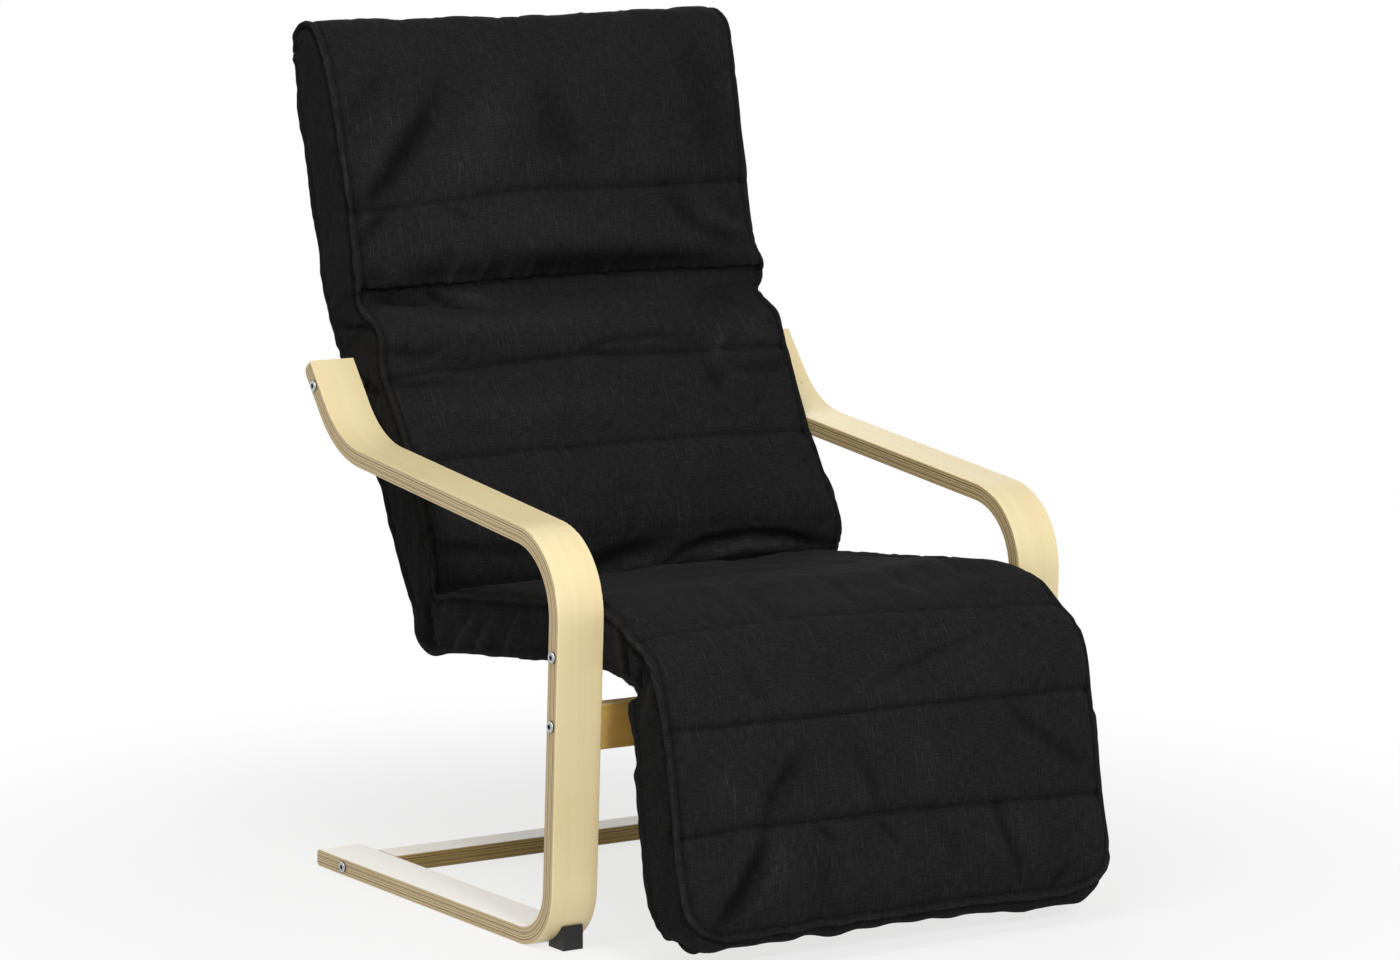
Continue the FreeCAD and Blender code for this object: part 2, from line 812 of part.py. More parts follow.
def make_leg_pad():
    channels = [leg_length * share for share in leg_channel_shares]
    seams = [cover_gap] + channels + [leg_length + foot_lip]
    sides = [leg_start_side] + [leg_channel_side for channel in channels] + [foot_edge_side]
    full = raised(leg_side, pad_crown)
    lobes = []
    for i in range(len(channels) + 1):
        first = raised(sides[i], seam_crown)
        last = raised(sides[i + 1], seam_crown)
        lobes.append(lobe(leg_section, seams[i], seams[i + 1], first, last, full))
    save("cushion_leg", pad(lobes))


# The knee is the soft wedge between the seat and the leg pads, round the hinge pins

def knee_point(angle, radius, x):
    return hinge + along_degrees(angle) * radius + V(x, 0, 0)


def knee_section(x, channel_radius, seat_out, leg_edge_out):
    """A side-view outline of the knee, from the seat's plane round to the leg's."""
    seat_turn = 90 - seat_tilt + knee_rise
    leg_turn = leg_angle + 90 - knee_rise
    channel_turn = 90 - seat_tilt + knee_channel_turn
    seat_top = knee_point(seat_turn, seat_out, x)
    leg_top = knee_point(leg_turn, leg_edge_out, x)
    channel = knee_point(channel_turn, channel_radius, x)
    seat_swell = knee_point((seat_turn + channel_turn) / 2, (seat_out + channel_radius) / 2 + side_bulge, x)
    leg_swell = knee_point((channel_turn * 2 + leg_turn) / 3, (channel_radius + leg_edge_out) / 2, x)
    core = [knee_point(turn, knee_core, x) for turn in (leg_turn, (seat_turn + leg_turn) / 2, seat_turn)]
    edges = [arc(seat_top, seat_swell, channel), arc(channel, leg_swell, leg_top),
             line(leg_top, core[0]), arc(core[0], core[1], core[2]), line(core[2], seat_top)]
    return Part.Wire(edges)


def make_knee():
    edge = [knee_channel_radius, hinge_below_seat + seat_front_side, hinge_behind_leg + leg_start_side]
    middle = [radius + seam_crown for radius in edge]
    half = cushion_half - side_bulge
    sections = [knee_section(-half, *edge), knee_section(0, *middle), knee_section(half, *edge)]
    knee = Part.makeLoft(sections, True)
    room = hinge_disc(disc_radius + cheek_thick + cover_gap, hinge_inner - pin_head_thick - cover_gap,
                      rail_inner + cover_gap)
    save("cushion_knee", knee.cut(room).cut(mirrored(room)))


# Boxing at the sides, pockets over the frame's ends, and straps behind it

def parted(shape, cutter):
    """The two pieces that are left on either side of a cutter, front one first."""
    return sorted(shape.cut(cutter).Solids, key=lambda solid: solid.CenterOfMass.y)


def make_side_panels():
    top_out = cushion_floor - cover_gap
    front = seat.at(-knee_overhang + cover_gap, 0)
    corners = [front, seat_corner, lumbar, head_end]
    radii = [strip_thick, lumbar_radius]
    whole = band(corners, radii, -cover_drop, top_out, boxing_inner, boxing_outer)
    bisector = unit(crease_foot() - seat_corner)
    cut_from = seat_corner - bisector * (2 * cover_drop)
    cutter = prism(thin_strip(cut_from, bisector, 4 * cover_drop), boxing_inner - overrun,
                   boxing_outer + overrun)
    seat_panel, back_panel = parted(whole, cutter)
    for place in (seat_bolt, tail_bolt):
        hole = Part.makeCylinder(sleeve_radius + cover_gap, boxing_thick + 2 * overrun,
                                 V(boxing_inner - overrun, place.y, place.z), V(1, 0, 0))
        seat_panel = seat_panel.cut(hole)
        back_panel = back_panel.cut(hole)
    leg_panel = block(leg, -leg_length, -cover_gap, -leg_cover_drop, top_out, boxing_inner, boxing_outer)
    for name, panel in (("seat", seat_panel), ("back", back_panel), ("leg", leg_panel)):
        save(name + "_side_panel_left", panel)
        save(name + "_side_panel_right", mirrored(panel))


def thin_strip(start, direction, length):
    """The outline of a narrow gap that starts here and runs this way."""
    beside = left_of(direction) * (cover_gap / 2)
    end = start + direction * length
    return [start - beside, end - beside, end + beside, start + beside]


def pocket(lane, end, depth, lip, drop):
    """A sleeve of the cover over the ends of two rails, closed beyond them."""
    sign = math.copysign(1, end)
    top_out = cushion_floor - cover_gap
    clear = end + sign * cover_gap
    far = end + sign * lip
    behind = -rail_half - cover_gap
    cap = [lane.at(clear, top_out), lane.at(far, top_out), lane.at(far, -rail_half),
           lane.at(far - sign * lip / 2, -drop), lane.at(clear, -drop)]
    lid = prism(cap, -boxing_outer, boxing_outer)
    x_end = boxing_inner - cover_gap
    near = end - sign * depth
    wall = [lane.at(near, behind), lane.at(near, behind - pocket_thick),
            lane.at(far - sign * lip / 2, behind - pocket_thick), lane.at(far - sign * lip / 2, behind)]
    return lid.fuse(prism(wall, -x_end, x_end)).removeSplitter()


def make_pockets():
    save("head_pocket", pocket(upper, upper_back_length, head_pocket_depth, head_lip, cover_drop))
    save("foot_pocket", pocket(leg, -leg_length, foot_pocket_depth, foot_lip, leg_cover_drop))


def strap(lane, middle):
    behind = -rail_half - cover_gap
    half = strap_width / 2
    x_end = boxing_inner - cover_gap
    return block(lane, middle - half, middle + half, behind - strap_thick, behind, -x_end, x_end)


def make_straps():
    seat_middle = seat_slat_first + seat_slat_pitch * 3 / 2
    save("seat_strap", strap(seat, seat_middle))
    save("back_strap", strap(back, back_length() * back_channel_shares[0]))
    save("leg_strap", strap(leg, -leg_length / 2))


os.makedirs("parts", exist_ok=True)
make_side_frames()
make_crossrails()
make_feet()
make_fasteners()
make_rails()
make_slats()
make_hinges()
make_seat_pad()
make_back_pad()
make_leg_pad()
make_knee()
make_side_panels()
make_pockets()
make_straps()
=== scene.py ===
import json
import math

import bmesh
import bpy
import numpy as np
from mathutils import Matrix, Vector
from numpy.linalg import norm

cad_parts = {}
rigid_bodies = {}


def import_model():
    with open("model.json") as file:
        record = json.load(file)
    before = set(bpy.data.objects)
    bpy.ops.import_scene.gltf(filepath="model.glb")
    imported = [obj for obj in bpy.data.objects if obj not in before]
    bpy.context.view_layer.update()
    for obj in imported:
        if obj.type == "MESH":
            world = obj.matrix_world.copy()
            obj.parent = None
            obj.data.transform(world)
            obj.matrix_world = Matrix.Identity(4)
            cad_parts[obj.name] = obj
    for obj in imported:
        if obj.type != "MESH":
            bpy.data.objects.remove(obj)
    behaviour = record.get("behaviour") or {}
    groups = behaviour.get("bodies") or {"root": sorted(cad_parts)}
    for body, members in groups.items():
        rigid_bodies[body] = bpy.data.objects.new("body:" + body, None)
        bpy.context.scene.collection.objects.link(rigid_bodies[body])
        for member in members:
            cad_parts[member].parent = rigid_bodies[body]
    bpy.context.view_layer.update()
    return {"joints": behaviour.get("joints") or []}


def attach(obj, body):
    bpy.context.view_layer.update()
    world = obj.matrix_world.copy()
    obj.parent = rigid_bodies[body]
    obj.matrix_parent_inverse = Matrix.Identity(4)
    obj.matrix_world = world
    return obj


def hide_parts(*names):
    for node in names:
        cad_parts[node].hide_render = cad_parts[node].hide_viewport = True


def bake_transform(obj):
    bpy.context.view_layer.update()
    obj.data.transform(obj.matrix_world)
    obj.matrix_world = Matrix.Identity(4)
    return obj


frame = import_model()
scene = bpy.context.scene

# A bentwood recliner under one long padded cushion. Everything is in metres.
MM = 0.001

# Lines of the frame in side view, from the hinge at the knee
HINGE = np.array(frame["joints"][0]["pos_m"][1:])
SEAT_TILT = 5.5
BACK_RECLINE = 32
LUMBAR_BEND = 16.5
LEG_LEAN = 12.5
HINGE_BELOW_SEAT = 12 * MM
HINGE_BEHIND_LEG = 20 * MM
SEAT_LENGTH = 418.6 * MM
LUMBAR_DISTANCE = 430 * MM
LUMBAR_RADIUS = 300 * MM

# Side frames
OVERALL_HALF = 335 * MM
STRIP_THICK = 20 * MM


def heading(degrees):
    """The unit vector at this angle above the rear, in side view."""
    return np.array([math.cos(math.radians(degrees)), math.sin(math.radians(degrees))])


class Lane:
    """A straight run in side view: places along it, and out to its left."""

    def __init__(self, start, degrees):
        self.start = np.array(start, float)
        self.degrees = degrees
        self.along = heading(degrees)
        self.out = heading(degrees + 90)

    def at(self, along, out):
        return self.start + self.along * along + self.out * out


seat_lane = Lane(HINGE + heading(90 - SEAT_TILT) * HINGE_BELOW_SEAT, -SEAT_TILT)
leg_lane = Lane(HINGE + heading(180 - LEG_LEAN) * HINGE_BEHIND_LEG, 90 - LEG_LEAN)
seat_corner = seat_lane.at(SEAT_LENGTH, 0)
lower_lane = Lane(seat_corner, 90 - BACK_RECLINE)
lumbar_reach = LUMBAR_RADIUS * math.tan(math.radians(LUMBAR_BEND / 2))
lumbar_turn = LUMBAR_RADIUS * math.radians(LUMBAR_BEND)
lumbar_start = LUMBAR_DISTANCE - lumbar_reach
upper_lane = Lane(lower_lane.at(LUMBAR_DISTANCE, 0), lower_lane.degrees + LUMBAR_BEND)


def back_at(distance, out):
    """A place this far up the bent back and this far out from its rails' middle."""
    past = distance - lumbar_start
    if past <= 0:
        return lower_lane.at(distance, out)
    if past >= lumbar_turn:
        return upper_lane.at(lumbar_reach + past - lumbar_turn, out)
    centre = lower_lane.at(lumbar_start, LUMBAR_RADIUS)
    turned = lower_lane.degrees + 90 + math.degrees(past / LUMBAR_RADIUS)
    return centre - heading(turned) * (LUMBAR_RADIUS - out)


seat_at = seat_lane.at


def leg_at(down, out):
    return leg_lane.at(-down, out)


# The cushion's stations from the back of the head down to the foot, each with the side seam, the pad's floor
# and the boxing's hem in side view. A place is a distance along its lane and a height out, in millimetres.
# The last three numbers are the crown over the seam, the half width and the share that may swell.
BACK_STATIONS = [
    (736, -24, 734, 6, 736, -19, 0, 271, 0),
    (753, -15, 735, 7, 736, -18.5, 1, 272, 0.2),
    (762, 7, 735, 8, 735.5, -18.5, 4, 273, 0.3),
    (760, 27, 733, 10, 734, -19, 8, 274, 0.5),
    (747, 42, 731, 14, 731, -19.5, 13, 275, 0.6),
    (728, 53, 727, 19.5, 726, -19.5, 15, 276, 0.8),
    (700, 61, 702, 19.5, 707, -19.5, 14, 277, 1),
    (655, 67, 657, 19.5, 660, -21, 15, 278, 1),
    (605, 68, 606, 19.5, 608, -22, 13, 278, 1),
    (560, 68, 560, 19.5, 560, -23, 12, 277, 0.9),
    (536, 66, 536, 19.5, 536, -24, 11, 276, 0.7),
    (512, 65, 512, 19.5, 512, -25, 12, 276, 0.9),
    (467, 62, 467, 19.5, 467, -26, 18, 276, 1),
    (435, 56, 435, 19.5, 435, -26, 22, 275, 0.8),
    (414, 45, 414, 19.5, 414, -26, 9, 273, 0.2),
    (394, 50, 394, 19.5, 394, -26, 17, 274, 0.4),
    (372, 66, 374, 19.5, 376, -24, 10, 276, 0.9),
    (348, 74, 350, 19.5, 352, -22, 6, 276, 1),
    (330, 64, 330, 19.5, 330, -22, 10, 276, 0.8),
    (311, 56, 311, 19.5, 311, -22, 11, 275, 0.55),
    (288, 57, 288, 19.5, 288, -22, 14, 276, 0.9),
    (250, 60, 250, 19.5, 250, -22, 14, 276, 1),
    (222, 61, 222, 19.5, 222, -22, 12, 276, 0.9),
    (200, 59, 200, 19.5, 200, -22, 12, 275, 0.7),
    (172, 58, 172, 19.5, 172, -23, 14, 276, 0.9),
    (125, 51, 125, 19.5, 122, -25, 18, 276, 1),
    (85, 43, 80, 19.5, 70, -28, 21, 276, 0.9),
    (58, 34, 38, 19.5, 38, -33, 14, 275, 0.5),
    (42, 28, 13, 19.5, 13, -38, 1, 274, 0),
]
SEAT_STATIONS = [
    (396, 47, 396, 19.5, 420, -20, 4, 275, 0.4),
    (370, 51, 370, 19.5, 384, -17, 6, 276, 0.9),
    (325, 51, 325, 19.5, 332, -15, 7, 276, 1),
    (270, 51, 270, 19.5, 272, -15, 8, 276, 1),
    (205, 52, 205, 19.5, 205, -14, 6, 276, 1),
    (140, 52, 140, 19.5, 138, -14, 6, 276, 1),
    (80, 49, 80, 19.5, 80, -16, 10, 276, 1),
    (40, 43, 40, 19.5, 46, -18, 15, 276, 1),
    (12, 32, 14, 19.5, 20, -22, 17, 275, 0.8),
    (-12, 17, -4, 8, 0, -30, 18, 275, 0.5),
]
LEG_STATIONS = [
    (-9, 20, -8, 4, -14, -34, 17, 275, 0.5),
    (6, 33, 8, 11, 34, -2, 16, 276, 0.8),
    (26, 41, 26, 16, 41, -18, 14, 277, 0.9),
    (56, 45, 54, 19.5, 60, -21, 13, 278, 1),
    (82, 47, 82, 19.5, 84, -20, 12, 278, 0.8),
    (112, 49, 112, 19.5, 112, -20, 13, 279, 1),
    (142, 50, 142, 19.5, 142, -21, 13, 280, 1),
    (172, 49, 172, 19.5, 172, -23, 12, 280, 0.9),
    (197, 48, 197, 19.5, 197, -25, 11, 281, 0.8),
    (224, 48, 224, 19.5, 222, -25, 12, 282, 1),
    (253, 49, 250, 19.5, 254, -24, 11, 280, 1),
    (278, 48, 268, 19.5, 276, -22, 8, 276, 0.8),
    (295, 44, 278, 19, 290, -18, 4, 268, 0.5),
    (306, 35, 281, 16, 296, -14, 2, 260, 0.4),
    (312, 22, 282, 10, 298, -11, 1, 256, 0.3),
    (312, 6, 282, 4, 297, -10, 1, 254, 0.2),
    (306, -9, 281, 0, 293, -9, 0, 254, 0.1),
    (293, -20, 279, -4, 287, -9, 0, 254, 0),
]
KNEE_HEM = seat_at(-14 * MM, -34 * MM)  # the hem of the first station on the leg part

# Where the stuffing fills one end more than the other: station, its reach, and the shift in mm to the left,
# to the rear and up, at the seam on the sitter's left
FULLER = [
    (4.2, 2.4, 5, -22, 7.5),
    (12.9, 0.6, 3, -9, 0),
    (13.9, 0.9, 6, -17, 0),
    (16.1, 0.9, -3, 13, 0),
    (19.2, 1.7, 2, -16, 0),
    (26.0, 1.8, 6, -13, 0),
    (37.5, 1.0, 0, -8, 5),
    (41.5, 2.6, 5, -6, 0),
    (47.5, 2.6, 1.5, 2, 0),
    (53.0, 2.5, -3, 0, -8),
]

SPACING = 6.5 * MM
SIDE_COLUMNS = 14
FLAP_COLUMNS = 4
FLOOR_COLUMNS = 30
FLAP_THICK = 4 * MM
POST_ROOM_FRONT = -330 * MM
POST_ROOM_ALONG = 75 * MM
ARM_ROOM_UP = (60 * MM, 370 * MM)
ROOM_BESIDE_FRAME = 276.5 * MM
ROOM_BESIDE_NOTHING = 280.5 * MM
START_CROWN = 0.6
DETAIL = 0.55
FOLD_DEPTH = 1.7
SWELL_CAP = 24 * MM
COVER_ZERO = 4.7 * MM


def on_spline(values, t, i, mode):
    """Values on a smooth line through the rows: at row numbers t, in the gaps that follow rows i."""
    f = (t - i).reshape((-1,) + (1,) * (values.ndim - 1))
    a, b, c, d = (np.take(values, i + k, axis=0, mode=mode) for k in (-1, 0, 1, 2))
    square = 2 * a - 5 * b + 4 * c - d
    cube = 3 * b - a - 3 * c + d
    return 0.5 * (2 * b + (c - a) * f + square * f ** 2 + cube * f ** 3)


def catmull(values, t):
    values = np.asarray(values, float)
    return on_spline(values, t, np.clip(np.floor(t).astype(int), 0, len(values) - 2), "clip")


def around_ring(values, t):
    """As catmull, for values that close on themselves."""
    return on_spline(values, t, np.floor(t).astype(int), "wrap")


def soft_step(value, low, high):
    share = np.clip((value - low) / (high - low), 0, 1)
    return share * share * (3 - 2 * share)


def bell(value, width):
    return np.exp(-(value / width) ** 2)


def moving_average(values, width):
    kernel = np.ones(width) / width
    padded = np.concatenate([np.full(width, values[0]), values, np.full(width, values[-1])])
    return np.convolve(padded, kernel, "same")[width:-width]


def station_lines():
    """The stations as arrays: seam, floor and hem places, then crown, half width and swell."""
    tops, floors, hems, rest = [], [], [], []
    for at, stations in ((back_at, BACK_STATIONS), (seat_at, SEAT_STATIONS), (leg_at, LEG_STATIONS)):
        for *places, crown, half_width, swell in stations:
            for found, along, out in zip((tops, floors, hems), places[::2], places[1::2]):
                found.append(at(along * MM, out * MM))
            rest.append([crown * MM, half_width * MM, swell])
    hems[len(BACK_STATIONS) + len(SEAT_STATIONS)] = KNEE_HEM
    return np.array(tops), np.array(floors), np.array(hems), np.array(rest)


def even_rows(tops, hems):
    """Row numbers that are evenly spaced along the cushion."""
    t = np.linspace(0, len(tops) - 1, 8000)
    top, hem = catmull(tops, t), catmull(hems, t)
    step = np.maximum(norm(np.diff(top, axis=0), axis=1),
                      0.5 * norm(np.diff(hem, axis=0), axis=1))
    run = np.concatenate([[0], np.cumsum(step)])
    count = int(run[-1] / SPACING)
    return np.interp(np.linspace(0, run[-1], count + 1), run, t)


tops, floors, hems, others = station_lines()
rows = even_rows(tops, hems)
T, F, M = catmull(tops, rows), catmull(floors, rows), catmull(hems, rows)
crown, half, swell = catmull(others, rows).T
crown = np.maximum(crown, 0)
swell = np.clip(swell, 0, 1)
run = np.concatenate([[0], np.cumsum(norm(np.diff(T, axis=0), axis=1))])


def beside_frame(place):
    """Whether a side frame stands beside this place."""
    along_seat = (place - seat_lane.start) @ seat_lane.along
    up_back = (place - seat_corner) @ lower_lane.along
    front = (along_seat < POST_ROOM_ALONG) & (place[:, 0] > POST_ROOM_FRONT)
    rear = (up_back > ARM_ROOM_UP[0]) & (up_back < ARM_ROOM_UP[1]) & (place[:, 0] > 0)
    return front | rear


room = np.where(beside_frame(M) | beside_frame(T), ROOM_BESIDE_FRAME, ROOM_BESIDE_NOTHING)
room = np.minimum(room, moving_average(room, 7))

# Directions out of the front panel, square to the seam line, smoothed round the crease
tangent = np.gradient(T, axis=0)
tangent /= norm(tangent, axis=1)[:, None]
OUT = np.stack([-tangent[:, 1], tangent[:, 0]], axis=1) * -1
lean = (T - M) / norm(T - M, axis=1)[:, None]
OUT += 0.35 * lean
for axis in (0, 1):
    OUT[:, axis] = moving_average(OUT[:, axis], 5)
OUT /= norm(OUT, axis=1)[:, None]


def top_shares():
    """Places across the front panel from +1 at one seam to -1 at the other, closer near the seams."""
    inner = np.linspace(1, -1, 83)
    edge = np.array([0.9935, 0.986, 0.976])
    middle = inner[np.abs(inner) < 0.97]
    return np.concatenate([[1], edge, middle, -edge[::-1], [-1]])


ACROSS = top_shares()
SHOULDER = np.sqrt(np.maximum(1 - np.abs(ACROSS) ** 16, 0))
DOWN = np.linspace(0, 1, SIDE_COLUMNS + 1)[1:]
FLOOR_ACROSS = np.linspace(-1, 1, FLOOR_COLUMNS + 1)[1:-1]


def ring_points(i):
    """One closed ring of the cushion, starting at the left seam: x, then the place in side view."""
    w = half[i]
    points = []
    for share, height in zip(ACROSS, SHOULDER):
        place = T[i] + OUT[i] * (START_CROWN * crown[i] * height)
        points.append((share * w, place[0], place[1]))
    bulge = max(min(room[i] - w, 3.5 * MM), 0)
    side = []
    for v in DOWN:
        place = T[i] + (M[i] - T[i]) * v
        side.append((w + bulge * math.sin(math.pi * min(v * 1.05, 1)), place[0], place[1]))
    inner = w - FLAP_THICK
    for v in np.linspace(0, 1, FLAP_COLUMNS + 1):
        place = M[i] + (F[i] - M[i]) * v
        side.append((inner, place[0], place[1]))
    points += [(-x, y, z) for x, y, z in side]
    for share in FLOOR_ACROSS:
        points.append((share * inner, F[i][0], F[i][1]))
    points += side[::-1]
    return points


rings = np.array([ring_points(i) for i in range(len(rows))])
count, ring_size = rings.shape[:2]
top_size = len(ACROSS)
SIDE_SIZE = SIDE_COLUMNS + FLAP_COLUMNS + 1
hem_distance = norm(T - M, axis=1)


def new_mesh(name, points, faces):
    mesh = bpy.data.meshes.new(name)
    mesh.from_pydata([tuple(map(float, p)) for p in points], [], faces)
    mesh.update()
    piece = bpy.data.objects.new(name, mesh)
    scene.collection.objects.link(piece)
    for polygon in mesh.polygons:
        polygon.use_smooth = True
    return piece


def closed_grid(name, grid):
    """A mesh of rings with both ends closed and its normals outward."""
    rows_count, size = grid.shape[:2]
    faces = []
    for i in range(rows_count - 1):
        for j in range(size):
            k = (j + 1) % size
            faces.append((i * size + j, i * size + k, (i + 1) * size + k, (i + 1) * size + j))
    faces.append(tuple(range(size))[::-1])
    faces.append(tuple((rows_count - 1) * size + j for j in range(size)))
    piece = new_mesh(name, grid.reshape(-1, 3), faces)
    checked = bmesh.new()
    checked.from_mesh(piece.data)
    bmesh.ops.recalc_face_normals(checked, faces=checked.faces)
    checked.to_mesh(piece.data)
    checked.free()
    return piece


def pins():
    """How firmly each vertex is held while the cushion is inflated."""
    held = np.ones((count, ring_size))
    held[:, :top_size] = 0
    grip = 0.05 + 0.5 * soft_step(DOWN, 0.55, 1.0)
    held[:, top_size:top_size + SIDE_COLUMNS] = grip
    held[:, -SIDE_COLUMNS:] = grip[::-1]
    for column in (0, top_size - 1):
        held[:, column] = 0.4
    held = np.maximum(held, (1 - swell)[:, None] ** 2)
    held[:3] = 1
    held[-3:] = 1
    return held.reshape(-1)


def inflate(piece, held, cap):
    """Cloth under pressure, then each point's travel is capped and the modifier is taken off."""
    rest = np.array([v.co for v in piece.data.vertices])
    group = piece.vertex_groups.new(name="held")
    levels = np.round(held, 2)
    for level in np.unique(levels):
        group.add([int(k) for k in np.nonzero(levels == level)[0]], float(level), "REPLACE")
    cloth = piece.modifiers.new("Cloth", "CLOTH")
    settings = cloth.settings
    for key, value in (("quality", 4), ("mass", 0.3), ("tension_stiffness", 20),
                       ("compression_stiffness", 10), ("shear_stiffness", 4), ("bending_stiffness", 1.5),
                       ("air_damping", 3), ("use_pressure", True), ("uniform_pressure_force", 4),
                       ("vertex_group_mass", "held"), ("shrink_min", -0.012)):
        setattr(settings, key, value)
    settings.effector_weights.gravity = 0
    cloth.collision_settings.use_collision = False
    cloth.collision_settings.use_self_collision = False
    cloth.point_cache.frame_start = 1
    cloth.point_cache.frame_end = 20
    for number in range(1, 21):
        scene.frame_set(number)
    evaluated = piece.evaluated_get(bpy.context.evaluated_depsgraph_get())
    moved = np.array([v.co for v in evaluated.data.vertices])
    piece.modifiers.remove(cloth)
    scene.frame_set(1)
    travel = moved - rest
    travel[~np.isfinite(travel)] = 0
    far = norm(travel, axis=1)
    travel *= (np.minimum(far, cap) / np.maximum(far, 1e-9))[:, None]
    return travel.reshape(count, ring_size, 3)


def calmer(travel):
    """The swelling with its small wrinkles kept at a share of their height."""
    broad = travel.copy()
    for _ in range(12):
        padded = np.pad(broad, ((1, 1), (1, 1), (0, 0)), mode="edge")
        broad = (padded[:-2, 1:-1] + padded[2:, 1:-1] + padded[1:-1, :-2] + padded[1:-1, 2:] + 2 * broad) / 6
    return broad + DETAIL * (travel - broad)


missing_crown = (1 - START_CROWN) * crown
trial = closed_grid("trial", rings)
travel = inflate(trial, pins(), SWELL_CAP)
bpy.data.objects.remove(trial)
middle = slice(top_size // 4, 3 * top_size // 4)
out3 = np.concatenate([np.zeros((count, 1)), OUT], axis=1)
rise = np.einsum("ijk,ik->ij", travel[:, middle], out3).mean(axis=1)
rise = moving_average(np.maximum(rise, 1 * MM), 9)
scale = np.clip(missing_crown / rise, 0, 1.3)
travel *= moving_average(scale, 5)[:, None, None]
travel[:, :top_size] = calmer(travel[:, :top_size])
shape = rings + travel
shape[:, :, 0] = np.clip(shape[:, :, 0], -room[:, None], room[:, None])

# One subdivision of the swelled grid, then seams, channels and folds on it
fine_rows = np.linspace(0, count - 1, 2 * count - 1)
fine_columns = np.arange(0, ring_size, 0.5)
fine = catmull(shape, fine_rows)
fine = around_ring(fine.transpose(1, 0, 2), fine_columns).transpose(1, 0, 2).copy()


def at_fine_rows(values):
    return np.interp(fine_rows, np.arange(count), values)


def at_fine_columns(values):
    return np.interp(fine_columns, np.arange(ring_size + 1), np.append(values, values[0]))


# Places on the cover laid flat: q across from the middle line, over the seam and down the boxing; v along
station = at_fine_rows(rows)
v_row = at_fine_rows(run) - COVER_ZERO
half_row = at_fine_rows(half)[:, None]
hem_row = at_fine_rows(hem_distance)[:, None]
side_down = np.concatenate([DOWN, 1 + 0.02 * np.arange(1, FLAP_COLUMNS + 2)])
share_fine = at_fine_columns(np.concatenate([ACROSS, np.full(SIDE_SIZE, -1.0), FLOOR_ACROSS,
                                             np.full(SIDE_SIZE, 1.0)]))
down_fine = at_fine_columns(np.concatenate([np.zeros(top_size), side_down, np.full(FLOOR_COLUMNS - 1, 1.1),
                                            side_down[::-1]]))
Q = share_fine * half_row + np.sign(share_fine) * down_fine * hem_row
V = np.repeat(v_row[:, None], len(fine_columns), axis=1)
EDGE = (1 - np.abs(share_fine)) * half_row - down_fine * hem_row
on_cover = np.where(down_fine <= 1.001, 1.0, 0.0)
on_panel = np.where(down_fine <= 0.0, 1.0, 0.0)
to_hem = (1 - down_fine) * hem_row


def grid_normals(grid):
    along = np.gradient(grid, axis=0)
    around = (np.roll(grid, -1, axis=1) - np.roll(grid, 1, axis=1)) / 2
    normal = np.cross(around, along)
    return normal / np.maximum(norm(normal, axis=2), 1e-12)[:, :, None]


def run_at(number):
    """The distance along the cover at a station's number."""
    return np.interp(number, station, v_row)


def waves(seed, length, octaves=2):
    """Smooth seeded noise over the cover, about one high."""
    chosen = np.random.default_rng(seed)
    total = np.zeros_like(Q)
    for octave in range(octaves):
        for _ in range(7):
            angle = chosen.uniform(0, math.pi)
            reach = length / 2 ** octave * chosen.uniform(0.7, 1.4)
            phase = chosen.uniform(0, 2 * math.pi)
            turn = 2 * math.pi / reach
            total += np.sin(turn * (math.cos(angle) * Q + math.sin(angle) * V) + phase) / 2 ** octave
    return total / 4


# Sewn channels: depth, width, how much the cloth puckers beside it, then places on the cover in mm
CHANNELS = [
    (2.6, 3.6, 0.5, (-274, 306), (-200, 303), (-130, 298), (-60, 291), (0, 290), (65, 293), (262, 290)),
    (5.5, 3.6, 1.3, (-274, 403), (-150, 401), (60, 400), (270, 400)),
    (3.2, 4, 0.8, (-274, 530), (-150, 522), (-5, 515), (65, 520), (270, 522)),
    (3, 3.6, 0.5, (-274, 640), (0, 638), (270, 639)),
    (0.7, 3.2, 0.2, (-274, 752), (60, 749), (270, 751)),
    (4, 5, 0.6, (-274, 797), (270, 797)),
    (1, 4, 0.2, (-274, 1108), (270, 1112)),
    (2.2, 5, 0.4, (-274, 1236), (-70, 1231), (-5, 1235), (65, 1240), (145, 1245), (220, 1252), (270, 1254)),
    (3, 3.6, 0.6, (-276, 1349), (0, 1350), (120, 1352), (276, 1355)),
    (3, 3.6, 0.6, (-276, 1462), (-185, 1458), (-170, 1460), (20, 1463), (150, 1468), (276, 1473)),
]

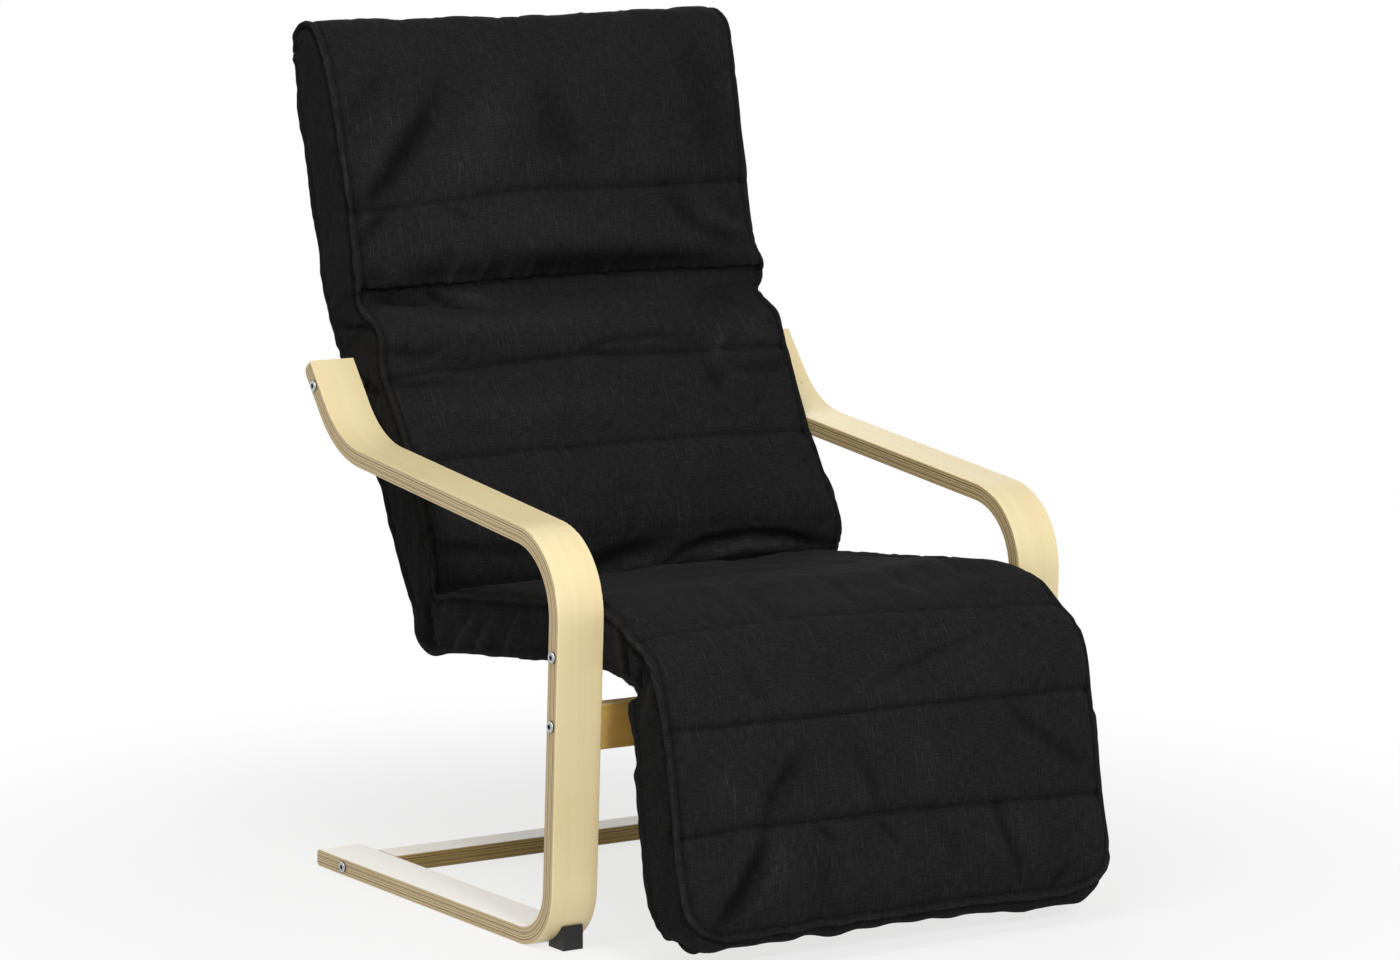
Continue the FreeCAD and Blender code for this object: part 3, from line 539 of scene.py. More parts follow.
# Folds: height of the ridge, height of the step beside it, width in mm, then places on the cover in mm
FOLDS = [
    # head
    (-4.2, 1, 12, (-272, 303), (-247, 296), (-220, 268), (-190, 235), (-165, 205), (-140, 170)),
    (2.4, 0, 36, (-175, 285), (-90, 235), (-45, 175)),
    (1.8, 0, 16, (-262, 275), (-225, 230), (-190, 185)),
    (-1.8, 0, 24, (5, 150), (5, 200), (35, 265)),
    (-1.6, 0, 30, (210, 110), (232, 275)),
    (1.2, 0, 18, (120, 190), (135, 285)),
    (-1.4, 0.5, 12, (-268, 205), (-225, 165), (-205, 130)),
    # the lobe under it
    (-2.6, 1.2, 8, (-274, 352), (-247, 326), (-222, 309)),
    (-1.8, 0.8, 5, (-165, 304), (-135, 320), (-118, 328)),
    (1.6, 0, 26, (-190, 340), (-60, 325), (60, 345)),
    (-2.8, 1, 14, (150, 300), (195, 350), (255, 372)),
    (-1.4, 0, 18, (225, 315), (262, 335)),
    (2, 0, 8, (190, 326), (262, 356)),
    # the underside of that lobe, with its puckers
    (-5.2, 0, 12, (-110, 389), (-40, 387), (250, 387)),
    (-2.4, 0, 8, (-215, 385), (-80, 387)),
    (-2.6, 0, 10, (-272, 385), (-245, 383)),
    (3, 0, 4.5, (-146, 374), (-160, 399)),
    (3, 0, 4.5, (-104, 376), (-120, 399)),
    (2.6, 0, 4, (-72, 380), (-80, 400)),
    (2.4, 0, 4, (-40, 378), (-50, 400)),
    (2, 0, 4, (-2, 380), (-10, 400)),
    (2, 0, 4, (24, 380), (18, 400)),
    (2.6, 0, 4.5, (70, 378), (60, 400)),
    (1.6, 0, 4, (132, 380), (124, 400)),
    (1.6, 0, 4, (182, 380), (176, 400)),
    # pocket and lens at the fold's right end
    (-3.4, 0, 11, (-262, 412), (-220, 420), (-178, 426)),
    (-3, 1.5, 5, (-186, 408), (-163, 419), (-170, 432)),
    (-2.6, 1, 4.5, (-172, 433), (-145, 442), (-122, 453)),
    (3.6, 0, 10, (-152, 414), (-128, 424), (-112, 438)),
    (2, 0, 14, (-262, 455), (-150, 470), (60, 468)),
    (-1.6, 0, 28, (165, 440), (245, 460)),
    (-1.2, 0, 9, (0, 410), (4, 440)),
    (-2.2, 1, 9, (-274, 500), (-225, 508), (-190, 496)),
    # about the third channel
    (-1.8, 0.8, 5, (-8, 513), (40, 499), (100, 499), (158, 502)),
    (-2.2, 1, 6, (-276, 536), (-250, 545), (-200, 548)),
    (3.4, 0, 8, (158, 550), (172, 522), (186, 494)),
    (-3, 0, 8, (153, 536), (158, 578)),
    (-1.6, 1, 9, (180, 556), (240, 560), (272, 548)),
    (2, 0, 12, (215, 485), (240, 512)),
    (-1, 0, 6, (-84, 524), (-80, 580)),
    (1.4, 0, 18, (-250, 575), (-120, 590), (40, 585)),
    (-1.5, 0.6, 9, (-270, 690), (-240, 655), (-228, 642)),
    # the back's foot, over the seat
    (-4.6, 2.2, 4.5, (38, 784), (65, 772), (95, 766), (150, 762), (195, 766), (235, 775), (272, 783)),
    (4.2, 0, 6, (75, 784), (140, 773), (225, 780)),
    (-4.6, 1.5, 9, (-90, 786), (-15, 770), (38, 765)),
    (2.4, 0, 9, (-60, 791), (0, 783), (40, 790)),
    (-2, 0.6, 7, (-274, 742), (-200, 758), (-130, 764)),
    # seat
    (-3.2, 1.6, 6, (120, 818), (170, 830), (215, 852), (268, 872)),
    (2.8, 0, 9, (150, 838), (215, 866), (262, 894)),
    (-3.6, 0, 6, (234, 812), (250, 850), (243, 890), (254, 930), (246, 970), (256, 1020), (258, 1090)),
    (-2.8, 1.4, 6, (215, 900), (268, 926)),
    (2.6, 0, 8, (200, 918), (266, 952)),
    (-2.6, 1.4, 6, (225, 968), (270, 984)),
    (-2.2, 1.2, 6, (238, 1018), (272, 1040)),
    (1.6, 0, 22, (-40, 850), (110, 870)),
    (-1.4, 0, 18, (-150, 990), (80, 1010), (260, 1000)),
    # leg
    (-1.5, 0.6, 4.5, (-22, 1330), (-5, 1320), (65, 1300), (145, 1280)),
    (-1.8, 0.5, 8, (-172, 1290), (-152, 1330)),
    (-2.6, 1.5, 10, (-118, 1385), (-160, 1425), (-180, 1456)),
    (-1.8, 1, 9, (-55, 1378), (-28, 1452)),
    (-1.8, 1, 8, (150, 1358), (185, 1395), (220, 1420), (262, 1452)),
    (1.6, 0, 16, (-225, 1390), (-215, 1440)),
    (1.2, 0, 16, (35, 1380), (50, 1440)),
    (-3.8, 2.6, 12, (-178, 1462), (-188, 1492), (-214, 1525), (-250, 1562)),
    (2, 0, 14, (-152, 1478), (-178, 1535)),
    (-1.4, 0, 10, (-105, 1500), (-105, 1538)),
    (-1.8, 1, 5, (-110, 1468), (-84, 1491)),
    (-1.8, 1, 5, (-32, 1468), (-4, 1506)),
    (-2.4, 1.2, 6, (130, 1448), (130, 1490), (140, 1515), (156, 1558)),
    (1.6, 0, 12, (158, 1480), (178, 1540)),
    (-1.2, 0, 12, (60, 1485), (70, 1540)),
    (-2.4, 1.2, 5.5, (200, 1568), (224, 1548)),
    # boxing on the sitter's right
    (-2.5, 1.5, 8, (-330, 412), (-285, 468)),
    (-3, 1.5, 8, (-345, 500), (-290, 545)),
    (-4, 2.5, 9, (-350, 814), (-285, 795)),
    (3.4, 2, 7, (-352, 838), (-290, 905)),
    (3.4, 2, 7, (-352, 880), (-290, 950)),
    (3, 2, 7, (-350, 940), (-292, 1000)),
    (-2.6, 0, 8, (-340, 1040), (-290, 1075)),
    (3, 2, 8, (-345, 1150), (-288, 1118)),
    (3, 2, 8, (-335, 1208), (-282, 1191)),
    (-3, 2, 8, (-340, 1241), (-280, 1214)),
    (-3.5, 2, 8, (-330, 1280), (-282, 1260)),
    (2.5, 1, 9, (-325, 1340), (-284, 1288)),
]


def from_line(places):
    """The distance along the cover from a line across it."""
    across, along = np.array(places, float).T * MM
    return V - np.interp(Q, across, along)


def channel_field():
    """The sewn channels: a groove at each, with small gathers beside it."""
    total = np.zeros_like(Q)
    gathers = waves(3, 22 * MM, 1)
    near_seam = soft_step(EDGE, -1 * MM, 5 * MM)
    for depth, width, pucker, *places in CHANNELS:
        away = from_line(places)
        groove = -depth * bell(away, width * MM) - 0.35 * depth * bell(away, 2.6 * width * MM)
        ripple = pucker * gathers * bell(away, 15 * MM) * (1 - 0.6 * bell(away, 3 * MM))
        total += (groove + ripple) * near_seam * MM
    return total * on_panel


def stroke_field(points, width):
    """Signed distance from a stroke in widths, and how strongly it counts there."""
    places = [np.array([q, v]) * MM for q, v in points]
    lengths = [norm(b - a) for a, b in zip(places, places[1:])]
    best = np.full(Q.shape, 1e9)
    signed = np.zeros_like(Q)
    share = np.zeros_like(Q)
    past = 0
    for a, b, length in zip(places, places[1:], lengths):
        direction = (b - a) / length
        dq, dv = Q - a[0], V - a[1]
        t = np.clip(dq * direction[0] + dv * direction[1], 0, length)
        oq, ov = dq - t * direction[0], dv - t * direction[1]
        distance = np.hypot(oq, ov)
        nearer = distance < best
        best = np.where(nearer, distance, best)
        side = np.sign(direction[0] * ov - direction[1] * oq)
        signed = np.where(nearer, distance * side, signed)
        share = np.where(nearer, (past + t) / sum(lengths), share)
        past += length
    taper = soft_step(share, -0.05, 0.3) * soft_step(1 - share, -0.05, 0.3)
    return signed / (width * MM), taper


def fold_field():
    total = np.zeros_like(Q)
    for ridge, step, width, *points in FOLDS:
        away, taper = stroke_field(points, width)
        shape_here = ridge * bell(away, 1) + 1.6 * step * away * bell(away, 1)
        total += FOLD_DEPTH * shape_here * (0.25 + 0.75 * taper) * MM
    return total * on_cover * soft_step(to_hem, 0, 14 * MM)


def corner_distance():
    """Distance inside the front panel's seam, with round corners at the foot."""
    from_side = half_row - np.abs(Q)
    from_bottom = run_at(51.4) - V
    in_corner = (from_side < FOOT_CORNER) & (from_bottom < FOOT_CORNER)
    rounded = FOOT_CORNER - np.hypot(FOOT_CORNER - from_side, FOOT_CORNER - from_bottom)
    return np.where(in_corner, rounded, np.minimum(from_side, from_bottom))


FOOT_CORNER = 42 * MM
inside = corner_distance()
past_head_end = soft_step(V, run_at(0.3), run_at(1.2))


def seam_field():
    """The raised seam round the front panel, a stitched dip inside it, and the hem's double stitching."""
    slow = 1 + 0.25 * waves(5, 90 * MM, 1)
    ridge = 4.2 * bell(inside + 0.8 * MM, 2.4 * MM) * slow
    dip = -2.2 * bell(inside - 7 * MM, 2.6 * MM) - 2.6 * bell(inside + 7 * MM, 3.6 * MM)
    stitching = -0.9 * bell(to_hem - 11 * MM, 2 * MM) + 1.5 * bell(to_hem - 3 * MM, 3 * MM)
    return ((ridge + dip) * on_cover + stitching * on_cover * (1 - on_panel)) * MM * past_head_end


def pleats(seed, length):
    """Soft seeded folds that run down the cover, about one high."""
    chosen = np.random.default_rng(seed)
    total = np.zeros_like(Q)
    for _ in range(6):
        turn = 2 * math.pi / (length * chosen.uniform(0.7, 1.5))
        total += np.sin(turn * (Q + chosen.uniform(-0.5, 0.5) * V) + chosen.uniform(0, 2 * math.pi))
    return total / 3


def soft_noise():
    on_leg = soft_step(V, 1.16, 1.3)
    panel = 1.7 * waves(1, 120 * MM) + 0.4 * waves(2, 38 * MM) + (0.3 + 0.9 * on_leg) * pleats(11, 70 * MM)
    side = 1.6 * waves(7, 70 * MM) + 0.5 * waves(8, 28 * MM)
    amount = np.where(on_panel > 0, panel, side) * soft_step(np.abs(EDGE), 0, 12 * MM)
    ends = soft_step(V, run_at(0.5), run_at(2)) * soft_step(run_at(55.5) - V, 0, run_at(55.5) - run_at(54))
    return amount * MM * ends * on_cover


def overhang(number, push, reach):
    """How far a lobe slides down over the fold at this station."""
    away = (V - run_at(number)) / (reach * MM)
    along = np.where(away < 0, bell(away, 1), bell(away * 2.5, 1))
    return push * MM * along * on_panel * soft_step(EDGE, 0, 45 * MM)


ARM_UNDERSIDE = 445 * MM
BEHIND_POST = -200 * MM
BEFORE_POST = -300 * MM


def clear_of_frame():
    """One where the cushion may stand out past its room: under the arms, and in front of the posts."""
    y, z = fine[:, :, 1], fine[:, :, 2]
    under_arm = soft_step(ARM_UNDERSIDE - z, 0, 20 * MM) * soft_step(y - BEHIND_POST, 0, 50 * MM)
    return np.maximum(under_arm, soft_step(BEFORE_POST - y, 0, 15 * MM))


normal = grid_normals(fine)
slide = overhang(13.2, 3, 12) + overhang(27.9, 8, 24)
along_line = np.gradient(fine, axis=0)
along_line /= np.maximum(norm(along_line, axis=2), 1e-12)[:, :, None]
raised_by = channel_field() + fold_field() + seam_field() + soft_noise()
fine = fine + normal * raised_by[:, :, None] + along_line * slide[:, :, None]
side_share = soft_step(share_fine, 0.1, 1.0) * np.where(down_fine > 0, 1 - 0.6 * down_fine, 1)
filled = np.zeros_like(fine)
for number, reach, *shift in FULLER:
    weight = bell(station - number, reach)[:, None] * side_share
    filled += weight[:, :, None] * (np.array(shift) * MM)
fine += filled
room_row = at_fine_rows(room)[:, None] + 8 * MM * clear_of_frame()
fine[:, :, 0] = np.clip(fine[:, :, 0], -room_row, room_row)

cushion = closed_grid("cushion", fine)


def lay_out(piece, u, v):
    """Developed places in metres as the cover's own texture layout."""
    layer = piece.data.uv_layers.new(name="cover")
    flat = np.stack([u.reshape(-1), v.reshape(-1)], axis=1)
    corners = np.zeros(len(piece.data.loops), dtype=np.int64)
    piece.data.loops.foreach_get("vertex_index", corners)
    layer.data.foreach_set("uv", flat[corners].astype(np.float32).reshape(-1))


lay_out(cushion, Q, V)


def worn():
    """Painted highlight and shade in the cloth's tone, with some wear: the seam is paler, partly wear and
    partly painted highlight; fold ridges and the hem stitching's raised line get painted highlight; the
    seam's stitched dips, the channels, the hem stitching's dip and the fold valleys get painted shade; some
    tone differs at random.
    """
    shown = past_head_end * on_cover
    # painted highlight on the seam ridge, partly wear, and painted shade in the stitched dips beside it
    tone = 0.5 * bell(inside + 0.8 * MM, 2 * MM) * shown
    tone -= 0.4 * (bell(inside - 5.5 * MM, 2.2 * MM) + bell(inside + 6.5 * MM, 2.6 * MM)) * shown
    # painted shade in the channels' grooves
    for depth, _, _, *places in CHANNELS:
        tone -= min(0.15 * depth, 0.5) * bell(from_line(places), 2.4 * MM) * on_panel
    # painted highlight on the hem stitching's raised line and painted shade in its dip
    stitching = bell(to_hem - 3 * MM, 2 * MM) - bell(to_hem - 9 * MM, 2.5 * MM)
    tone += 0.3 * stitching * shown * (1 - on_panel)
    # painted highlight on fold ridges and painted shade in fold valleys, plus random tone
    tone += 0.085 * fold_field() / MM + 0.05 * waves(1, 120 * MM)
    return np.clip(1 + tone, 0.35, 1.8)


def shade(piece, tone):
    """The cloth's paler and darker places, mostly painted highlight and shade, one value at each vertex."""
    layer = piece.data.attributes.new("worn", "FLOAT", "POINT")
    layer.data.foreach_set("value", tone.reshape(-1).astype(np.float32))


shade(cushion, worn())
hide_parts("cushion_seat", "cushion_back", "cushion_knee", "cushion_leg", "seat_side_panel_left",
            "seat_side_panel_right", "back_side_panel_left", "back_side_panel_right", "leg_side_panel_left",
            "leg_side_panel_right")
blend_start = seat_at(70 * MM, 20 * MM)
blend_end = leg_at(60 * MM, 20 * MM)
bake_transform(cushion)


def unevenness(size, seed):
    """Small smooth seeded unevenness over a grid, about one high."""
    chosen = np.random.default_rng(seed)
    r, c = np.meshgrid(np.arange(size[0]), np.arange(size[1]), indexing="ij")
    total = np.zeros(size)
    for _ in range(8):
        a, b, phase = chosen.uniform(-0.6, 0.6), chosen.uniform(-0.4, 0.4), chosen.uniform(0, 6.28)
        total += np.sin(a * r + b * c + phase)
    return total / 3


POCKET_HALF = 262 * MM
POCKET_COLUMNS = 41
HEM_ROLL = 1.2 * MM


def pocket(name, at, start, end, hem_start, inner_out, outer_out):
    """A thin fabric pocket behind the rails, from their ends to a rolled hem; its places are in mm."""
    x = np.linspace(-POCKET_HALF, POCKET_HALF, POCKET_COLUMNS)
    inner, outer = [], []
    for distance in np.arange(start, end, -6.0):
        hem = HEM_ROLL if distance < hem_start else 0
        for sheet, out in ((inner, inner_out * MM), (outer, outer_out * MM - hem)):
            sheet.append(np.column_stack([x, np.tile(at(distance * MM, out), (POCKET_COLUMNS, 1))]))
    inner, outer = np.array(inner), np.array(outer)
    sag = unevenness(inner.shape[:2], 5) * 0.8 * MM
    outer[1:-1, 1:-1, 1] += sag[1:-1, 1:-1]
    ring = np.concatenate([inner, outer[:, ::-1]], axis=1)
    piece = closed_grid(name, ring)
    lay_out(piece, ring[:, :, 0], np.repeat((np.arange(len(ring)) * 7 * MM)[:, None], ring.shape[1], axis=1))
    shade(piece, np.ones(ring.shape[:2]))
    return piece


head_pocket = pocket("head_pocket_cloth", back_at, 734, 578, 592, -21.4, -23.6)
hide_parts("head_pocket")
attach(head_pocket, "frame")
foot_pocket = pocket("foot_pocket_cloth", leg_at, 281, 200, 213, -11, -13.4)
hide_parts("foot_pocket")
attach(foot_pocket, "footrest")


# Materials
class Nodes:
    """The node tree of a material or a world, with short calls for its nodes."""

    def __init__(self, name, kind=None):
        self.owner = (bpy.data.materials if kind is None else kind).new(name)
        self.owner.use_nodes = True
        self.tree = self.owner.node_tree
        self.shader = self.tree.nodes.get("Principled BSDF")

    def add(self, kind, **values):
        node = self.tree.nodes.new(kind)
        for key, value in values.items():
            setattr(node, key, value)
        return node

    def join(self, source, target):
        if isinstance(source, (int, float)):
            target.default_value = source
        elif isinstance(source, (tuple, np.ndarray)):
            target.default_value = tuple(map(float, source))
        else:
            self.tree.links.new(source, target)

    def math(self, operation, *sources):
        node = self.add("ShaderNodeMath", operation=operation)
        for source, socket in zip(sources, node.inputs):
            self.join(source, socket)
        return node.outputs[0]

    def times(self, *sources):
        return self.math("MULTIPLY", *sources)

    def vector(self, operation, *sources):
        node = self.add("ShaderNodeVectorMath", operation=operation)
        sockets = (node.inputs[0], node.inputs["Scale"]) if operation == "SCALE" else node.inputs
        for source, socket in zip(sources, sockets):
            self.join(source, socket)
        return node.outputs["Value"] if operation in ("DOT_PRODUCT", "LENGTH") else node.outputs["Vector"]

    def dot(self, first, second):
        return self.vector("DOT_PRODUCT", first, second)

    def stretched(self, place, scales):
        return self.vector("MULTIPLY", place, scales)

    def gathered(self, *numbers):
        """A vector from up to three numbers."""
        node = self.add("ShaderNodeCombineXYZ")
        for number, socket in zip(numbers, node.inputs):
            self.join(number, socket)
        return node.outputs[0]

    def place(self):
        return self.add("ShaderNodeTexCoord").outputs["Object"]

    def noise(self, place, scale=1, detail=2, roughness=0.5):
        node = self.add("ShaderNodeTexNoise")
        for key, value in (("Vector", place), ("Scale", scale), ("Detail", detail), ("Roughness", roughness)):
            self.join(value, node.inputs[key])
        return node.outputs["Fac"]

    def mix(self, share, first, second, most=None):
        """The first colour, with as much of the second as the share says, times most."""
        node = self.add("ShaderNodeMix", data_type="RGBA")
        for source, number in ((self.times(share, most) if most else share, 0), (first, 6), (second, 7)):
            self.join(source, node.inputs[number])
        return node.outputs[2]

    def ramp(self, source, low, high, least=0):
        node = self.add("ShaderNodeMapRange", clamp=True, interpolation_type="SMOOTHSTEP")
        for key, value in (("Value", source), ("From Min", low), ("From Max", high), ("To Min", least)):
            self.join(value, node.inputs[key])
        return node.outputs["Result"]

    def set(self, **values):
        for key, value in values.items():
            self.join(value, self.shader.inputs[key.replace("_", " ")])

    def bump(self, height, distance, strength):
        node = self.add("ShaderNodeBump")
        for key, value in (("Strength", strength), ("Distance", distance), ("Height", height)):
            self.join(value, node.inputs[key])
        self.join(node.outputs["Normal"], self.shader.inputs["Normal"])

    def show_both(self, share, first, second, output):
        """Two shaders mixed by a share, as what the surface shows."""
        node = self.add("ShaderNodeMixShader")
        for source, socket in zip((share, first, second), node.inputs):
            self.join(source, socket)
        self.join(node.outputs[0], self.tree.nodes[output].inputs["Surface"])


def colour(red, green, blue):
    """A colour from its 8-bit screen values."""
    def linear(value):
        value /= 255
        return value / 12.92 if value <= 0.04045 else ((value + 0.055) / 1.055) ** 2.4
    return (linear(red), linear(green), linear(blue), 1)


def fabric():
    """Black linen-like weave with paler slubs that run down the cover."""
    n = Nodes("black_linen")
    layout = n.add("ShaderNodeUVMap", uv_map="cover").outputs["UV"]
    warp = n.noise(n.stretched(layout, (1300, 60, 1)), detail=1.5)
    weft = n.noise(n.stretched(layout, (80, 1300, 1)), detail=1.5)
    cloud = n.noise(layout, scale=9, detail=3)
    knots = n.noise(layout, scale=520, detail=1)
    slub = n.times(n.times(n.ramp(warp, 0.52, 0.8), n.ramp(cloud, 0.35, 0.75)), n.ramp(knots, 0.36, 0.6))
    long_slub = n.noise(n.stretched(layout, (900, 13, 1)), detail=1)
    long_slub = n.times(n.ramp(long_slub, 0.66, 0.76), n.ramp(knots, 0.3, 0.55))
    thread = n.times(n.ramp(weft, 0.56, 0.8), 0.35)
    pale = n.math("MAXIMUM", n.math("MAXIMUM", slub, thread), long_slub)
    weave = n.math("ADD", warp, weft)
    ground = n.mix(n.ramp(weave, 0.75, 1.25), (0.0080, 0.0080, 0.0082, 1), (0.0158, 0.0158, 0.0160, 1))
    cloth = n.mix(pale, ground, (0.034, 0.034, 0.034, 1))
    # The cloth's colour is scaled by the per-vertex tone: painted highlight and shade from seams, channels
    # and folds, with some wear and random tone.
    wear_and_painted_light_factor = n.add("ShaderNodeAttribute", attribute_name="worn").outputs["Fac"]
    n.set(Base_Color=n.vector("SCALE", cloth, wear_and_painted_light_factor), Roughness=0.95, Specular_IOR_Level=0.06)
    n.bump(weave, 0.25 * MM, 0.6)
    return n.owner


def path_depth(n, place, corners, radii):
    """Depth below a path of straights and round corners in side view: the distance to its nearest piece."""
    flat = n.stretched(place, (0, 1, 1))
    corners = [np.array(corner, float) for corner in corners]
    starts = [corners[0]]
    distances = []
    for before, corner, after, radius in zip(corners, corners[1:], corners[2:], radii):
        arriving = (corner - before) / norm(corner - before)
        leaving = (after - corner) / norm(after - corner)
        half_turn = math.acos(float(np.clip(arriving @ leaving, -1, 1))) / 2
        reach = radius * math.tan(half_turn)
        inward = (leaving - arriving) / norm(leaving - arriving)
        centre = corner + inward * (radius / math.cos(half_turn))
        starts += [corner - arriving * reach, corner + leaving * reach]
        from_centre = n.vector("SUBTRACT", flat, (0, *centre))
        length = n.vector("LENGTH", from_centre)
        facing = n.math("DIVIDE", n.dot(from_centre, (0, *(-inward))), length)
        beyond = n.math("LESS_THAN", facing, math.cos(half_turn))
        distances.append(n.math("ADD", n.math("ABSOLUTE", n.math("SUBTRACT", length, radius)),
                                n.times(beyond, FAR_AWAY)))
    starts.append(corners[-1])
    for a, b in zip(starts[::2], starts[1::2]):
        length = float(norm(b - a))
        direction = (b - a) / length
        away = n.vector("SUBTRACT", flat, (0, *a))
        t = n.dot(away, (0, *direction))
        t = n.math("MINIMUM", n.math("MAXIMUM", t, 0), length)
        closest = n.vector("SCALE", (0, *direction), t)
        distances.append(n.vector("LENGTH", n.vector("SUBTRACT", away, closest)))
    depth = distances[0]
    for other in distances[1:]:
        depth = n.math("MINIMUM", depth, other)
    return depth


def below(start, out):
    """Gives the depth below a plane through this place in side view."""
    def depth(n, place):
        return n.times(n.dot(n.vector("SUBTRACT", place, (0, *start)), (0, *out)), -1)
    return depth


FAR_AWAY = 10
PLY = 2.85 * MM
GLUE_LINES = (5.2 * MM, 12.8 * MM)
FACE = (colour(236, 219, 172), colour(226, 204, 154))
PLIES = (colour(234, 214, 168), colour(208, 180, 126), colour(122, 88, 46))


def plywood(name, depth_of, grain, ends, face=FACE, edge=PLIES, inner=None):
    """Laminated birch: veneer on the faces, plies on the edges.

    depth_of gives the depth below the outer face, grain scales the veneer's figure so that it is fine
    across the grain, and ends gives how far a place's normal turns to an edge."""
    n = Nodes(name)
    place = n.place()
    depth = depth_of(n, place)
    slow = n.noise(place, scale=9)
    wander = n.times(n.math("SUBTRACT", n.noise(place, scale=22, detail=1), 0.5), 0.7 * MM)
    depth = n.math("ADD", depth, wander)
    fine = n.noise(n.stretched(place, grain), detail=3, roughness=0.6)
    broad = n.noise(n.stretched(place, tuple(g * 0.22 for g in grain)))
    veneer = n.mix(n.ramp(broad, 0.3, 0.75), *face, 0.4)
    veneer = n.mix(n.ramp(slow, 0.4, 0.7), veneer, face[1], 0.3)
    veneer = n.mix(n.ramp(fine, 0.55, 0.8), veneer, face[1], 0.16)
    # Painted highlight: on the inner side close to the floor, the base's upper face, the veneer turns to the
    # paler inner colour.
    low = n.ramp(n.dot(place, (0, 0, 1)), 0.09, 0.03)
    painted_highlight_side = n.ramp(depth, 0.5 * STRIP_THICK, 0.9 * STRIP_THICK)
    veneer = n.mix(n.times(painted_highlight_side, low), veneer, inner or face[0])
    knots = n.add("ShaderNodeTexVoronoi", feature="F1")
    n.join(n.stretched(place, tuple(5 + g * 0.012 for g in grain)), knots.inputs["Vector"])
    n.join(1.6, knots.inputs["Scale"])
    veneer = n.mix(n.ramp(knots.outputs["Distance"], 0.024, 0.008), veneer, colour(120, 88, 50), 0.55)

    layer = n.math("DIVIDE", depth, PLY)
    part = n.math("FRACT", layer)
    number = n.math("FLOOR", layer)
    own = n.add("ShaderNodeTexWhiteNoise", noise_dimensions="1D")
    n.join(number, own.inputs["W"])
    own = own.outputs["Value"]
    streaks = n.gathered(n.times(depth, 2600), n.dot(place, (11, 14, 12)), n.times(number, 3.7))
    streaks = n.noise(streaks, roughness=0.6)
    plies = n.mix(n.ramp(streaks, 0.35, 0.75), edge[0], edge[1])
    plies = n.mix(own, plies, edge[1], 0.35)
    line = n.math("MAXIMUM", n.ramp(part, 0.74, 0.88), n.ramp(part, 0.16, 0.05))
    strength = n.times(line, n.ramp(n.math("ADD", own, n.times(slow, 0.9)), 0.35, 1.15))
    plies = n.mix(strength, plies, edge[2], 0.85)
    for glue_depth in GLUE_LINES:
        away = n.math("ABSOLUTE", n.math("SUBTRACT", depth, glue_depth))
        plies = n.mix(n.ramp(away, 1 * MM, 0.3 * MM), plies, edge[2], 0.85)
    gaps = n.noise(n.gathered(number, n.dot(place, (31, 40, 36))), detail=0)
    in_ply = n.ramp(n.math("ABSOLUTE", n.math("SUBTRACT", part, 0.5)), 0.32, 0.2)
    plies = n.mix(n.times(n.ramp(gaps, 0.79, 0.81), in_ply), plies, colour(58, 38, 22))

    shown = ends(n)
    n.set(Base_Color=n.mix(shown, veneer, plies), Roughness=0.42, Specular_IOR_Level=0.4, Coat_Weight=0.12,
          Coat_Roughness=0.3)
    n.bump(n.math("ADD", fine, n.times(n.times(line, shown), -1.5)), 0.08 * MM, 0.5)
    return n.owner


def normal_share(n, direction):
    """How squarely a surface faces along a direction, either way."""
    return n.math("ABSOLUTE", n.dot(n.add("ShaderNodeTexCoord").outputs["Normal"], direction))


def strip_edges(n):
    return n.ramp(normal_share(n, (1, 0, 0)), 0.62, 0.78)


def grained(name, scales, detail, shown, tones, height, strength, socket=None, **looks):
    """A finish of two tones in a fine raised grain, with painted shade in the sockets of the frame's bolts.
    """
    n = Nodes(name)
    place = n.place()
    grain = n.noise(n.stretched(place, scales), detail=detail)
    tone = n.mix(n.ramp(grain, *shown), *tones)
    if socket:
        # painted shade: the socket colour on the bolt heads' recessed socket floor and the rim's foot, where
        # shade falls
        proud = n.math("ABSOLUTE", n.dot(place, (1, 0, 0)))
        tone = n.mix(n.ramp(proud, OVERALL_HALF + 0.7 * MM, OVERALL_HALF + 1.7 * MM), socket, tone)
    n.set(Base_Color=tone, **looks)
    n.bump(grain, height, strength)
    return n.owner


# The side strip's outer face, from the arm's rear end round to the base's end
POST_FOOT = -245.9 * MM
POST_LEAN = 3
POST_HEIGHT = 453.6 * MM
ARM_RISE = 6.6
ARM_LENGTH = 498 * MM
TAIL_RISE = 51.9
TAIL_LENGTH = 111 * MM
HEEL_RADIUS = 71 * MM
KNUCKLE_RADIUS = 94.7 * MM
ELBOW_RADIUS = 115.2 * MM
heel = np.array([POST_FOOT, 0.0])
knuckle = heel + heading(90 + POST_LEAN) * POST_HEIGHT / math.cos(math.radians(POST_LEAN))
elbow = knuckle + heading(ARM_RISE) * ARM_LENGTH
tail_end = elbow + heading(TAIL_RISE) * TAIL_LENGTH
strip_corners = [tail_end, elbow, knuckle, heel, np.array([0.3, 0.0])]
strip_radii = [ELBOW_RADIUS, KNUCKLE_RADIUS, HEEL_RADIUS]
half_strip = STRIP_THICK / 2
FINE_ALONG = (420, 9, 9)
FINE_ACROSS = (7, 330, 330)


def strip_depth(n, place):
    return path_depth(n, place, strip_corners, strip_radii)


def rail(name, lane):
    """Plywood of a rail, with its plies under its outer face."""
    return plywood(name, below(lane.at(0, half_strip), lane.out), FINE_ALONG, strip_edges)


